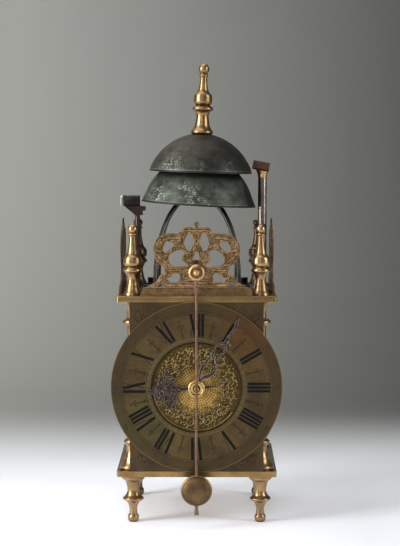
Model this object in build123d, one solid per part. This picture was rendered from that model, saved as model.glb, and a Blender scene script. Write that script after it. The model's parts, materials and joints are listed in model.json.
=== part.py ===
from build123d import *
import os
from math import cos, hypot, pi, radians, sin, sqrt

# Lantern clock, in millimetres. X is right and Z is up seen from the front, and the front faces -Y.
# Every piece is modelled round the middle of the square frame, standing on Z = 0, and save() then
# moves it back by frame_shift, so that the origin lies under the middle of the whole clock.

# ---- frame ----
plate_side = 150.0
plate_thickness = 5.4
plate_corner_radius = 2.5
plate_edge_round = 1.5
pillar_inset = 15.0          # pillar centre to plate edge
pillar_height = 159.5
foot_height = 45.3
corner_finial_height = 66.2
stud_radius = 2.8            # screwed studs that hold feet, pillars and finials together
stud_grip = 7.0
stud_clearance = 0.1

# ---- dial and hands ----
dial_plate_width = 125.0
dial_plate_thickness = 1.6
dial_overlap = 0.25          # the chapter ring reaches this far over the plates above and below
chapter_ring_thickness = 2.0
chapter_ring_bore_radius = 41.6
dial_centre_thickness = 1.3
dial_centre_gap = 0.5
groove_width = 0.4
groove_depth = 0.3
minute_band_width = 8.8      # rim to the minute ladder
minute_ladder_width = 2.3
quarter_band_width = 5.6     # bore to the hour band
dial_pin_radius = 1.0
dial_pin_places = ((40.5, 12.8), (134.3, 19.2))  # each pair's angle from twelve, and inset from the rim
minute_hand_gap = 4.3        # minute hand's tip to the rim
hour_hand_length = 46.5
hour_hand_tail = 20.4
hand_thickness = 1.2
minute_hand_angle = 31.9     # clockwise from twelve
hour_hand_angle = 265.5
hour_hand_standoff = 2.6     # chapter ring to hour hand
minute_hand_standoff = 2.2   # hour hand to minute hand
collet_radius = 7.9
collet_thickness = 3.0

# ---- frets ----
fret_thickness = 1.6
fret_plinth_thickness = 2.3
fret_plinth_height = 8.0
fret_plinth_width = 104.0
fret_inset = 2.4             # plate edge to the face of the fret
fret_lug_length = 7.0
fret_lug_place = 38.0
screw_radius = 1.2
screw_head_radius = 2.3
screw_head_height = 1.5
screw_depth = 4.0

# ---- bell frame and bells ----
bell_offset = 2.6            # the bells' stem stands this far right of the middle
bell_lean = 1.9              # degrees that the bells lean to the right
strap_offset = 0.2           # the straps cross this far right of the middle
strap_half_span = 39.2       # each leg's place in X and in Y
strap_leg_height = 15.9
strap_arch_rise = 76.5
strap_width = 5.0
strap_thickness = 2.4
strap_eye_radius = 7.0       # the straps widen to a round eye for the stem, and to wide feet
strap_foot_width = 8.0
strap_foot_length = 12.0
strap_nut_side = 8.0
strap_nut_height = 5.5
stem_radius = 3.6
stem_stud_radius = 2.8
stem_flange_radius = 6.5
stem_flange_thickness = 2.5
stem_length = 32.2           # strap crown to the lower bell
stem_hole_clearance = 0.3
crown_flat_radius = 8.0
lower_bell_tilt = 1.3        # degrees that the lower bell hangs over further than its stem
bell_seat_gap = 0.18         # room above and below its crown for that
lower_bell_radius = 55.5
lower_bell_depth = 46.5
lower_bell_dome_radius = 54.0
lower_bell_flare = 9.0
lower_bell_wall = 3.0
upper_bell_radius = 49.6
upper_bell_depth = 36.7
upper_bell_dome_radius = 52.5
upper_bell_flare = 4.0
upper_bell_wall = 2.6
bell_spacer_height = 18.4
top_finial_height = 67.6

# ---- movement ----
bar_width = 18.0
bar_thickness = 4.0
front_bar_place = -62.0      # front face of each upright bar
middle_bar_place = -6.0
back_bar_place = 44.0
great_wheel_drop = 38.45     # great wheel's arbor below the centre arbor
great_wheel_gap = 3.5        # bar to great wheel
great_to_third = 9.5         # how far behind the great wheel the others stand
great_to_centre = 21.5
great_to_contrate = 33.0
pivot_radius = 1.2
centre_arbor_radius = 1.8
running_clearance = 0.05
pinion_length = 5.0
wheel_thickness = 1.8
great_wheel_thickness = 2.6
pulley_radius = 12.0
pulley_width = 9.0
great_teeth = 48
centre_pinion_leaves = 8
centre_module = 0.8
centre_teeth = 48
third_pinion_leaves = 8
third_module = 0.75
third_teeth = 42
contrate_pinion_leaves = 7
contrate_module = 0.75
contrate_teeth = 42
contrate_rim_width = 1.7
contrate_rim_depth = 3.4
crown_pinion_leaves = 7
crown_pinion_reach = 4.0     # its leaves reach this far above and below the contrate teeth
crown_arbor_tail = 6.0       # its arbor goes on below its pinion
crown_teeth = 19
crown_wheel_radius = 12.0
crown_wheel_height = 9.0
crown_wheel_lift = 8.4       # top plate to the crown wheel
verge_lift = 23.2            # top plate to the verge
verge_radius = 1.8
verge_tail = 12.0            # crown wheel's rim to the verge's rear end
pallet_reach = 5.2
pallet_width = 2.2
pallet_thickness = 1.2
pallet_spread = 94.0         # degrees between the two pallets
cannon_teeth = 12
minute_wheel_teeth = 36
minute_pinion_leaves = 10
hour_wheel_teeth = 40
motion_module = 0.75
hour_pipe_radius = 4.2
cannon_pipe_radius = 2.7
hoop_wheel_teeth = 48
warning_wheel_teeth = 42
fly_half_width = 11.0
fly_length = 15.0
fly_thickness = 0.8
count_wheel_radius = 28.0
strike_pin_count = 12
strike_pin_circle = 27.0

# ---- pendulum ----
pendulum_plane = -93.0
pendulum_rod_radius = 1.2
pendulum_boss_radius = 7.4
pendulum_boss_thickness = 5.0
bob_radius = 14.4
bob_half_thickness = 4.5
bob_drop = 202.4             # verge to the middle of the bob
rating_nut_radius = 2.0
rating_nut_length = 8.4
ferrule_drop = 13.0

# ---- hammers ----
hammer_pivot_drop = 20.2     # arbor below the top plate's underside
left_hammer_side = -57.0
left_hammer_depth = -20.0
left_shank_radius = 2.4
left_head_height = 81.9      # above the top plate
left_head_size = (18.6, 9.0, 10.0)
right_hammer_side = 63.0
right_pivot_side = 52.0
right_hammer_depth = 0.0
right_shank_radius = 4.2
right_crank_radius = 3.2
right_crank_height = 34.4    # above the top plate
right_head_height = 119.6
right_head_size = (16.2, 10.0, 8.8)
right_head_tilt = 11.0
hammer_arbor_radius = 2.0
hammer_boss_radius = 3.9
hammer_boss_length = 8.0
hammer_tail_end = (22.5, 24.5)  # out from and above the great wheel's middle
hammer_tail_place = 31.5
cock_thickness = 3.0
cock_width = 10.0
slot_clearance = 1.2

# ---- doors and back ----
door_place = 62.7            # middle of each door's sheet
door_thickness = 1.4
door_width = 94.0
door_clearance = 0.4
hinge_pin_radius = 1.2
hinge_pin_length = 3.0
hinge_edge = 1.5             # pin to the door's rear edge
knob_radius = 3.0
knob_length = 5.0
back_plate_width = 94.0
back_plate_thickness = 1.4
back_plate_place = 61.0

# ---- places that follow from the sizes ----
plate_edge = plate_side / 2
pillar_place = plate_edge - pillar_inset
bottom_plate_top = foot_height + plate_thickness
top_plate_bottom = bottom_plate_top + pillar_height
top_plate_top = top_plate_bottom + plate_thickness
dial_radius = pillar_height / 2 + dial_overlap
centre_height = bottom_plate_top + pillar_height / 2
hour_band_radii = (chapter_ring_bore_radius + quarter_band_width,
                   dial_radius - minute_band_width - minute_ladder_width,
                   dial_radius - minute_band_width)
minute_hand_length = dial_radius - minute_hand_gap
great_module = 2 * great_wheel_drop / (great_teeth + centre_pinion_leaves)
great_wheel_height = centre_height - great_wheel_drop
verge_height = top_plate_top + verge_lift
bob_height = verge_height - bob_drop
pendulum_front = pendulum_plane - bob_half_thickness
frame_shift = -(pendulum_front + plate_edge) / 2
third_height = centre_height + centre_module * (centre_teeth + third_pinion_leaves) / 2
contrate_height = third_height + third_module * (third_teeth + contrate_pinion_leaves) / 2
contrate_radius = contrate_module * contrate_teeth / 2
crown_pinion_radius = contrate_module * crown_pinion_leaves / 2
hammer_pivot_height = top_plate_bottom - hammer_pivot_drop
hinge_place = door_width / 2 - hinge_edge
dial_face = -plate_edge - chapter_ring_thickness
hour_hand_place = dial_face - hour_hand_standoff - hand_thickness
minute_hand_place = hour_hand_place - minute_hand_standoff - hand_thickness
collet_place = minute_hand_place - collet_thickness
strap_crown_top = top_plate_top + strap_leg_height + strap_arch_rise + strap_thickness / 2

corners = [(x, y) for x in (-pillar_place, pillar_place) for y in (-pillar_place, pillar_place)]

# Turnings: (radius, share of the piece's height, bulge of the stretch that ends there).
foot_turning = [
    (3.6, 0.0, 0), (5.1, 0.06, 0.5), (3.9, 0.17, 0.7), (3.6, 0.27, 0), (6.2, 0.42, -0.5),
    (9.1, 0.465, 0), (9.1, 0.52, 0.8), (7.1, 0.565, 0), (5.8, 0.70, -0.5), (6.9, 0.815, -0.2),
    (8.8, 0.885, -0.3), (9.5, 0.90, 0), (10.8, 0.925, 0.3), (10.8, 1.0, 0)]
pillar_turning = [
    (12.2, 0.0, 0), (12.2, 0.022, 0.3), (7.9, 0.072, -1.0), (6.3, 0.105, -0.2), (6.3, 0.14, 0),
    (7.4, 0.148, 0), (8.2, 0.155, 0.2), (8.2, 0.172, 0.6), (6.3, 0.182, 0), (6.3, 0.19, 0),
    (9.5, 0.225, 0.5), (9.7, 0.26, 0.3), (7.4, 0.42, -0.6), (5.2, 0.80, -1.0), (5.1, 0.852, 0),
    (8.8, 0.864, 0), (8.8, 0.886, 0.8), (5.3, 0.898, 0), (5.1, 0.94, 0), (12.2, 0.995, -1.0),
    (12.2, 1.0, 0)]
corner_finial_turning = [
    (8.9, 0.0, 0), (8.3, 0.03, 0), (5.7, 0.142, -0.5), (4.8, 0.216, -0.2), (6.2, 0.289, -0.4),
    (8.2, 0.326, -0.2), (8.6, 0.372, 0.7), (6.9, 0.403, 0), (8.8, 0.482, 0.9), (8.0, 0.538, 0.3),
    (4.9, 0.621, -0.6), (3.5, 0.755, -0.2), (3.4, 0.832, 0), (4.2, 0.846, 0), (4.2, 0.868, 0.4),
    (3.3, 0.882, 0), (0.0, 1.0, 0)]
top_finial_turning = [
    (9.8, 0.0, 0), (10.7, 0.03, 0.3), (10.2, 0.05, 0.2), (6.7, 0.182, -0.9), (6.0, 0.254, -0.1),
    (7.6, 0.32, -0.4), (9.6, 0.343, 0), (9.6, 0.38, 0.6), (6.7, 0.414, 0), (8.8, 0.494, 0.9),
    (8.4, 0.558, 0.3), (4.6, 0.645, -0.7), (3.5, 0.76, -0.2), (3.4, 0.806, 0), (4.1, 0.82, 0),
    (4.1, 0.845, 0.4), (3.3, 0.865, 0), (0.0, 1.0, 0)]
spacer_turning = [
    (7.6, 0.0, 0), (7.6, 0.14, 0.3), (5.2, 0.32, -0.5), (5.2, 0.68, 0), (7.6, 0.86, -0.5),
    (7.6, 1.0, 0.3)]

# Right half of the fret's outline above its plinth, and of its holes: (out, up, bulge).
fret_edge = [
    (48.5, 8.0, 0), (41.0, 11.5, -0.6), (34.4, 18.5, -0.9), (29.9, 24.5, -0.3), (34.0, 29.0, -0.9),
    (38.8, 35.5, 0.4), (40.4, 42.5, 0.4), (39.0, 50.0, 0.5), (34.0, 55.6, 0.8), (28.5, 57.8, 0.5),
    (20.5, 58.4, 0.4), (16.0, 59.4, -0.7), (13.4, 62.0, -0.6), (7.6, 64.2, 0.9), (3.2, 63.6, 0.4),
    (1.5, 65.2, -0.5), (0.0, 69.6, 1.6)]
fret_holes = [
    [(2.9, 50.5, 0), (4.5, 57.0, 0.2), (6.4, 58.7, -0.3), (10.9, 52.3, -0.8), (10.9, 47.6, -0.4),
     (8.6, 43.5, -0.3), (5.7, 41.8, -0.3), (4.4, 45.8, 0.2)],
    [(20.6, 47.8, 0), (25.4, 50.6, -0.4), (27.4, 51.0, -0.2), (30.6, 46.4, -0.7), (30.6, 41.8, -0.4),
     (28.3, 40.6, -0.5)],
    [(16.1, 43.0, 0), (26.0, 34.8, -1.8), (23.1, 29.0, -0.5), (19.6, 27.6, -0.3), (8.6, 27.8, 0),
     (8.4, 29.8, 0), (12.6, 32.5, 0.4), (13.8, 36.0, 0.5), (11.2, 39.2, 0.5), (12.8, 42.0, -0.4)],
    [(18.4, 22.0, 0), (27.2, 17.3, 1.2), (26.6, 15.0, -0.3), (20.8, 12.7, -0.5), (17.3, 13.8, -0.4),
     (15.5, 19.7, -0.6)],
    [(32.4, 13.3, 0), (36.2, 9.0, 0.3), (27.6, 9.0, 0)],
]
fret_middle_hole = [(0.0, 28.0, 0), (2.2, 31.0, 0.5), (2.6, 37.0, 0.3), (0.0, 41.6, 0.6)]

# Minute hand, pointing up: (right, up, half width); the blade's second number is back from its tip.
minute_hub_radius = 5.2
minute_hand_drawn = 75.7     # hub to tip in these tables, which stretch to the hand's length
minute_hand_strands = [
    [(-0.8, 4.0, 1.3), (-2.6, 9.5, 0.9), (-4.4, 13.6, 0.9), (-5.6, 17.8, 1.3), (-5.6, 21.6, 1.3),
     (-5.2, 23.6, 0.9), (-5.6, 26.2, 1.4), (-5.2, 30.4, 0.8), (-5.4, 33.4, 0.7), (-6.6, 35.8, 0.25)],
    [(-0.6, 4.0, 1.3), (-1.2, 9.0, 1.1), (0.6, 12.8, 1.5), (3.2, 15.8, 1.7), (4.9, 19.4, 1.4),
     (5.4, 24.0, 0.9), (4.4, 28.4, 0.75), (2.0, 31.4, 0.75), (-1.4, 34.0, 0.75),
     (-4.2, 37.0, 0.75), (-5.7, 40.4, 0.8), (-5.4, 43.8, 0.8), (-3.9, 46.4, 0.8),
     (-1.8, 48.4, 0.9), (0.4, 50.2, 1.3)],
    [(4.8, 27.4, 0.5), (3.2, 31.6, 0.7), (2.4, 35.6, 0.8), (2.6, 38.8, 0.8), (3.6, 42.2, 0.8),
     (3.4, 45.6, 0.8), (1.8, 48.2, 0.8), (0.4, 50.2, 1.1)],
    [(0.0, 56.0, 0.6), (1.5, 53.4, 0.6), (3.4, 51.7, 0.5), (5.8, 50.6, 0.3)],
]
minute_hand_blade = [
    (0.3, 27.3, 1.5), (0.3, 24.6, 1.4), (-0.4, 21.4, 1.1), (-0.8, 18.6, 0.8), (-0.3, 15.4, 0.8),
    (0.3, 12.2, 0.9), (0.6, 9.4, 1.1), (0.0, 5.4, 1.3), (-0.5, 2.4, 0.9), (-0.4, 0.0, 0.3)]


def edges_through(points):
    """Edges from point to point; a bulge bends the stretch that ends there out to its right."""
    edges = []
    for (x0, y0, _), (x1, y1, bulge) in zip(points, points[1:]):
        if bulge:
            length = hypot(x1 - x0, y1 - y0)
            middle = ((x0 + x1) / 2 + bulge * (y1 - y0) / length,
                      (y0 + y1) / 2 - bulge * (x1 - x0) / length)
            edges.append(ThreePointArc((x0, y0), middle, (x1, y1)))
        else:
            edges.append(Line((x0, y0), (x1, y1)))
    return edges


def face_through(points):
    """A flat face inside the points, closed by a straight edge unless the last meets the first."""
    first = points[0]
    if (points[-1][0], points[-1][1]) != (first[0], first[1]):
        points = points + [(first[0], first[1], 0)]
    return make_face(edges_through(points))


def ball_bulge(radius, rise):
    """The bulge that closes a turning with a ball whose centre is on the axis."""
    centre = (rise * rise - radius * radius) / (2 * rise)
    return rise - centre - hypot(radius / 2, rise / 2 - centre)


def turned(rows, height, bottom=0.0):
    """A solid turned about Z from (radius, share of height, bulge) rows; a last 0 ends in a ball."""
    outline = [(0, bottom, 0)] + [(r, bottom + share * height, b) for r, share, b in rows]
    if rows[-1][0] > 0:
        outline.append((0, bottom + height, 0))
    else:
        rise = (rows[-1][1] - rows[-2][1]) * height
        outline[-1] = (0, outline[-1][1], ball_bulge(rows[-2][0], rise))
    return revolve(Plane.XZ * face_through(outline), Axis.Z)


def rod(radius, start, end):
    """A round bar from one point to another."""
    way = Vector(*end) - Vector(*start)
    return extrude(Plane(origin=start, z_dir=way) * Circle(radius), way.length)


def bar_y(radius, x, z, front, back):
    """A round bar along Y between two depths."""
    return rod(radius, (x, front, z), (x, back, z))


def block(x, y, z):
    """A box between two places on each axis."""
    return Pos((x[0] + x[1]) / 2, (y[0] + y[1]) / 2, (z[0] + z[1]) / 2) * Box(
        x[1] - x[0], y[1] - y[0], z[1] - z[0])


def sheet(face, front, thickness):
    """A flat face drawn in X and Z, as a sheet with its front at one depth."""
    return Pos(0, front, 0) * extrude(Plane.XZ * face, -thickness)


def save(name, *solids):
    """Write one node, a single solid or a group of like ones."""
    placed = [Pos(0, frame_shift, 0) * solid for solid in solids]
    export_step(placed[0] if len(placed) == 1 else Compound(placed), f"parts/{name}.step")


def tooth_outline(teeth, module, tip, root, crest, base, tooth_at):
    """Straight-sided gear teeth; crest and base are shares of the tooth pitch."""
    pitch = 2 * pi / teeth
    points = []
    for tooth in range(teeth):
        middle = radians(tooth_at) + tooth * pitch
        for radius, share in ((root, -base), (tip, -crest), (tip, crest), (root, base)):
            reach = teeth * module / 2 + (module * radius)
            angle = middle + share * pitch / 2
            points.append((reach * cos(angle), reach * sin(angle)))
    return make_face(Polyline(*points, close=True))


def wheel_teeth(teeth, module, tooth_at):
    return tooth_outline(teeth, module, 0.7, -1.1, 0.14, 0.64, tooth_at)


def pinion_leaves(leaves, module, tooth_at):
    return tooth_outline(leaves, module, 0.45, -1.0, 0.2, 0.4, tooth_at)


def gap_at(teeth, angle):
    """The tooth angle that puts a gap, not a tooth, at the given angle."""
    return angle + 180 / teeth


def wheel(teeth, module, thickness, tooth_at, front, height, bore, arms=4):
    """A crossed-out brass wheel about Y at x = 0."""
    rim_inside = teeth * module / 2 - 3.2 * module - 1.0
    hub = bore + 3.0
    face = wheel_teeth(teeth, module, tooth_at) - Circle(bore)
    if rim_inside > hub + 4:
        windows = Circle(rim_inside) - Circle(hub)
        for arm in range(arms):
            windows -= Rot(0, 0, arm * 360 / arms + 45) * Pos(rim_inside / 2 + 2, 0) * Rectangle(
                rim_inside + 8, 2.6)
        face -= windows
    return sheet(Pos(0, height) * face, front, thickness)


def pinion(leaves, module, front, height, length):
    """Pinion leaves about Y, with a gap straight below for the wheel under it."""
    return sheet(Pos(0, height) * pinion_leaves(leaves, module, gap_at(leaves, 270)), front, length)


# ---------------------------------------------------------------- frame

def plate(bottom):
    body = Pos(0, 0, bottom) * extrude(
        RectangleRounded(plate_side, plate_side, plate_corner_radius), plate_thickness)
    for x, y in corners:
        body -= Pos(x, y, bottom) * Cylinder(stud_radius + stud_clearance, 3 * plate_thickness)
    return body


def hinge_holes(side, top, bottom):
    return block_round(side * door_place, hinge_place, top, bottom, hinge_pin_radius + running_clearance)


def block_round(x, y, top, bottom, radius):
    return rod(radius, (x, y, bottom), (x, y, top))


def make_plates():
    bottom = plate(foot_height)
    top = plate(top_plate_bottom)
    top = fillet(top.faces().sort_by(Axis.Z)[-1].outer_wire().edges(), plate_edge_round)
    for side in (-1, 1):
        bottom -= hinge_holes(side, bottom_plate_top + 1, bottom_plate_top - hinge_pin_length - 0.3)
        top -= hinge_holes(side, top_plate_bottom + hinge_pin_length + 0.3, top_plate_bottom - 1)
    for x, y, _ in fret_screw_places():
        top -= block_round(x, y, top_plate_top + 1, top_plate_top - screw_depth, screw_radius)
    for x, y in strap_nut_places():
        top -= block_round(x, y, top_plate_top + 1, top_plate_top - screw_depth, stud_radius)
    top -= hammer_slot(left_slot_places(), left_hammer_depth, left_shank_radius)
    top -= hammer_slot(right_slot_places(), right_hammer_depth, right_crank_radius)
    top -= Pos(0, crown_arbor_place(), top_plate_bottom) * Cylinder(
        pivot_radius + running_clearance, 3 * plate_thickness)
    save("bottom_plate", bottom)
    save("top_plate", top)


def left_slot_places():
    return (left_hammer_side - 3.0, left_hammer_side + 1.0)


def right_slot_places():
    lean = (right_hammer_side - right_pivot_side) / (hammer_pivot_drop + plate_thickness
                                                     + right_crank_height)
    low = right_pivot_side + lean * hammer_pivot_drop
    high = right_pivot_side + lean * (hammer_pivot_drop + plate_thickness)
    return (low - 0.6, high + 1.4)


def hammer_slot(places, depth, radius):
    room = radius + slot_clearance
    return block((places[0] - room, places[1] + room), (depth - room, depth + room),
                 (top_plate_bottom - 1, top_plate_top + 1))


def make_posts():
    feet, pillars, finials = [], [], []
    bore = stud_radius + stud_clearance
    for x, y in corners:
        place = Pos(x, y, 0)
        foot = turned(foot_turning, foot_height) + rod(
            stud_radius, (0, 0, foot_height - 1), (0, 0, bottom_plate_top + stud_grip))
        feet.append(place * foot)
        pillar = turned(pillar_turning, pillar_height, bottom_plate_top)
        pillar -= rod(bore, (0, 0, bottom_plate_top - 1), (0, 0, bottom_plate_top + stud_grip + 1))
        pillar -= rod(bore, (0, 0, top_plate_bottom - stud_grip - 1), (0, 0, top_plate_bottom + 1))
        pillars.append(place * pillar)
        finial = turned(corner_finial_turning, corner_finial_height, top_plate_top) + rod(
            stud_radius, (0, 0, top_plate_bottom - stud_grip), (0, 0, top_plate_top + 1))
        finials.append(place * finial)
    save("feet", *feet)
    save("pillars", *pillars)
    save("corner_finials", *finials)


def make_bars():
    heights = (great_wheel_height, centre_height, third_height, contrate_height)
    bars = []
    for front in (front_bar_place, middle_bar_place, back_bar_place):
        bar = block((-bar_width / 2, bar_width / 2), (front, front + bar_thickness),
                    (bottom_plate_top, top_plate_bottom))
        for height in heights:
            radius = centre_arbor_radius if height == centre_height else pivot_radius
            bar -= bar_y(radius + running_clearance, 0, height, front - 1, front + bar_thickness + 1)
        if front == front_bar_place:
            bar -= bar_y(pivot_radius, 0, minute_wheel_height(), front - 1, front + 2.5)
        bars.append(bar)
    save("movement_bars", *bars)


# ---------------------------------------------------------------- dial and hands

def make_dial():
    middle = Pos(0, centre_height)
    pipe_hole = Circle(hour_pipe_radius + 0.4)
    plate_face = Pos(0, (bottom_plate_top + top_plate_bottom) / 2) * Rectangle(
        dial_plate_width, pillar_height) - middle * pipe_hole
    save("dial_plate", sheet(plate_face, -plate_edge, dial_plate_thickness))
    ring = sheet(middle * (Circle(dial_radius) - Circle(chapter_ring_bore_radius)), dial_face,
                 chapter_ring_thickness)
    for radius in hour_band_radii:
        circle = Circle(radius + groove_width / 2) - Circle(radius - groove_width / 2)
        ring -= sheet(middle * circle, dial_face - 1, 1 + groove_depth)
    centre_front = -plate_edge - dial_centre_thickness
    centre = sheet(middle * (Circle(chapter_ring_bore_radius - dial_centre_gap) - pipe_hole),
                   centre_front, dial_centre_thickness)
    pins = []
    for angle, inset in dial_pin_places:
        for side in (-1, 1):
            x = side * (dial_radius - inset) * sin(radians(angle))
            z = centre_height + (dial_radius - inset) * cos(radians(angle))
            ring -= bar_y(dial_pin_radius, x, z, dial_face - 1, -plate_edge)
            pins.append(bar_y(dial_pin_radius, x, z, dial_face - 0.3, -plate_edge))
    save("chapter_ring", ring)
    save("dial_centre", centre)
    save("dial_pins", *pins)


def ribbon(rows):
    """A cut-out band along a centre line of (x, y, half width) rows."""
    left, right = [], []
    for before, (x, y, half), after in zip([rows[0]] + rows, rows, rows[1:] + [rows[-1]]):
        way = (after[0] - before[0], after[1] - before[1])
        length = hypot(*way)
        left.append((x - half * way[1] / length, y + half * way[0] / length))
        right.append((x + half * way[1] / length, y - half * way[0] / length))
    return make_face(Polyline(*left, *reversed(right), close=True))


def flowing(rows, steps=4):
    """The rows with more between them, on a smooth curve through them all."""
    out = []
    padded = [rows[0]] + rows + [rows[-1]]
    for a, b, c, d in zip(padded, padded[1:], padded[2:], padded[3:]):
        for step in range(steps):
            t = step / steps
            out.append(tuple(
                q + 0.5 * t * (r - p + t * (2 * p - 5 * q + 4 * r - s + t * (3 * (q - r) + s - p)))
                for p, q, r, s in zip(a, b, c, d)))
    return out + [rows[-1]]


def minute_hand_face():
    """Two strands leave the hub, make a large loop and a small one, and end in a waved blade."""
    stretch = minute_hand_length / minute_hand_drawn
    blade = [(x, minute_hand_drawn - back, half) for x, back, half in minute_hand_blade]
    face = Circle(minute_hub_radius)
    for strand in minute_hand_strands + [blade]:
        face += ribbon([(x, up * stretch, half) for x, up, half in flowing(strand)])
    return face


def hour_hand_face():
    tip = hour_hand_length
    face = Circle(5.6) + Pos(0, 10.0) * Rectangle(3.2, 10)
    face += Pos(0, 16.8) * (Circle(3.0) - Circle(1.1))
    face += Pos(0, 25.6) * Circle(2.4) + Pos(0, 22) * Rectangle(1.6, 8)
    face += Pos(0, 35.0) * (Circle(6.2) - Circle(4.4)) + Pos(0, 30.4) * Rectangle(1.6, 9)
    face += Pos(0, 36.5) * (Circle(2.2) - Circle(0.9))
    face += make_face(Polyline((-2.6, 40.4), (2.6, 40.4), (0.5, tip), (-0.5, tip), close=True))
    for side in (-1, 1):
        face += Pos(side * 8.4, 25.6) * (Circle(6.6) - Circle(4.8))
        face += Pos(side * 8.6, 25.6) * (Circle(2.6) - Circle(1.2))
        face += Pos(side * 4.4, 25.6) * Rectangle(5.0, 1.5)
        leaf = [(side * 13.6, 22.6), (side * 19.4, 26.4), (side * 13.6, 29.2)]
        face += make_face(Polyline(*leaf, close=True))
        arm = [(side * 1.0, 17.4), (side * 2.2, 16.6), (side * 7.6, 20.0), (side * 6.4, 21.2)]
        face += make_face(Polyline(*arm, close=True))
        spray = [(side * 3.6, 30.2), (side * 9.4, 33.6), (side * 11.2, 38.2), (side * 7.4, 35.4),
                 (side * 3.4, 32.4)]
        face += make_face(Polyline(*spray, close=True))
    end = -hour_hand_tail
    face += make_face(Polyline((-1.7, -4), (-1.2, -11), (-0.4, end), (0.4, end), (1.2, -11),
                               (1.7, -4), close=True))
    return face


def turned_hand(face, angle, front):
    hand = sheet(face, front, hand_thickness)
    return Pos(0, 0, centre_height) * Rot(0, angle, 0) * hand


def make_hands():
    hour = turned_hand(hour_hand_face() - Circle(hour_pipe_radius), hour_hand_angle, hour_hand_place)
    minute = turned_hand(minute_hand_face() - Circle(cannon_pipe_radius), minute_hand_angle,
                         minute_hand_place)
    dome = [(collet_radius, 0.0, 0), (collet_radius, 0.3, 0), (collet_radius - 1.4, 0.6, 0.4),
            (collet_radius - 2.8, 0.3, -0.2), (3.1, 0.3, 0), (2.9, 0.7, 0), (1.6, 1.0, 0.3)]
    collet = Rot(90, 0, 0) * turned(dome, collet_thickness)
    collet = Pos(0, minute_hand_place, centre_height) * collet
    collet -= bar_y(centre_arbor_radius, 0, centre_height, collet_place + 1.0, minute_hand_place + 1)
    save("hour_hand", hour)
    save("minute_hand", minute)
    save("hand_collet", collet)


# ---------------------------------------------------------------- frets

def mirrored(points):
    """A right-half outline from bottom to top, closed by its mirror image."""
    left = [(-x, y, 0) for x, y, _ in reversed(points[:-1])]
    bulges = [b for _, _, b in reversed(points[1:])]
    return points + [(x, y, b) for (x, y, _), b in zip(left, bulges)]


def fret_face():
    face = face_through(mirrored(fret_edge))
    for hole in fret_holes:
        cut = face_through(hole)
        face -= [cut, cut.mirror(Plane.YZ)]
    return face - face_through(mirrored(fret_middle_hole))


def fret(with_verge_hole):
    """A fret standing on z = 0 in the XZ plane, its plain face towards -Y."""
    body = sheet(fret_face(), 0, fret_thickness)
    half = fret_plinth_width / 2
    plinth_face = make_face(Polyline((-half, 0), (half, 0), (half, fret_plinth_height * 0.3),
                                     (half - 3, fret_plinth_height), (3 - half, fret_plinth_height),
                                     (-half, fret_plinth_height * 0.3), close=True))
    body += sheet(plinth_face, fret_thickness - fret_plinth_thickness, fret_plinth_thickness)
    for side in (-1, 1):
        middle = side * fret_lug_place
        lug = block((middle - fret_lug_length / 2, middle + fret_lug_length / 2),
                    (fret_thickness, fret_thickness + fret_lug_length), (0, fret_thickness))
        body += lug - block_round(middle, fret_lug_depth(), fret_thickness + 1, -1,
                                  screw_radius + running_clearance)
    if with_verge_hole:
        body -= bar_y(verge_radius + 1.2, 0, verge_lift, -5, 5)
    return body


def fret_lug_depth():
    return fret_thickness + fret_lug_length / 2


def fret_seats():
    """Front, left and right fret: name, turn about Z, and place of the face."""
    reach = plate_edge - fret_inset
    return [("front_fret", 0, (0, -reach)), ("left_fret", -90, (-reach, 0)),
            ("right_fret", 90, (reach, 0))]


def fret_screw_places():
    places = []
    for _, turn, (x, y) in fret_seats():
        for side in (-1, 1):
            out, deep = side * fret_lug_place, fret_lug_depth()
            c, s = cos(radians(turn)), sin(radians(turn))
            places.append((x + out * c - deep * s, y + out * s + deep * c, turn))
    return places


def make_frets():
    for name, turn, (x, y) in fret_seats():
        save(name, Pos(x, y, top_plate_top) * Rot(0, 0, turn) * fret(name == "front_fret"))
    screws = []
    for x, y, _ in fret_screw_places():
        seat = top_plate_top + fret_thickness
        head = block_round(x, y, seat + screw_head_height, seat, screw_head_radius)
        shank = block_round(x, y, seat + 0.5, top_plate_top - screw_depth + 0.5, screw_radius)
        slot = block((x - 3, x + 3), (y - 0.3, y + 0.3), (seat + screw_head_height - 0.5, seat + 3))
        screws.append(head + shank - slot)
    save("fret_screws", *screws)


# ---------------------------------------------------------------- bell frame and bells

def arch(half_span, rise):
    """The face under an arch: straight legs, then a half ellipse."""
    top = Pos(0, strap_leg_height) * (Ellipse(half_span, rise) & Rectangle(
        2 * half_span, rise, align=(Align.CENTER, Align.MIN)))
    return top + Rectangle(2 * half_span, strap_leg_height, align=(Align.CENTER, Align.MIN))


def diagonal():
    return strap_half_span * sqrt(2)


def strap_nut_places():
    """Where the straps' feet are bolted down."""
    reach = (diagonal() + strap_thickness / 2 + strap_foot_length / 2) / sqrt(2)
    return [(strap_offset + x * reach, y * reach) for x in (-1, 1) for y in (-1, 1)]


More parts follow.
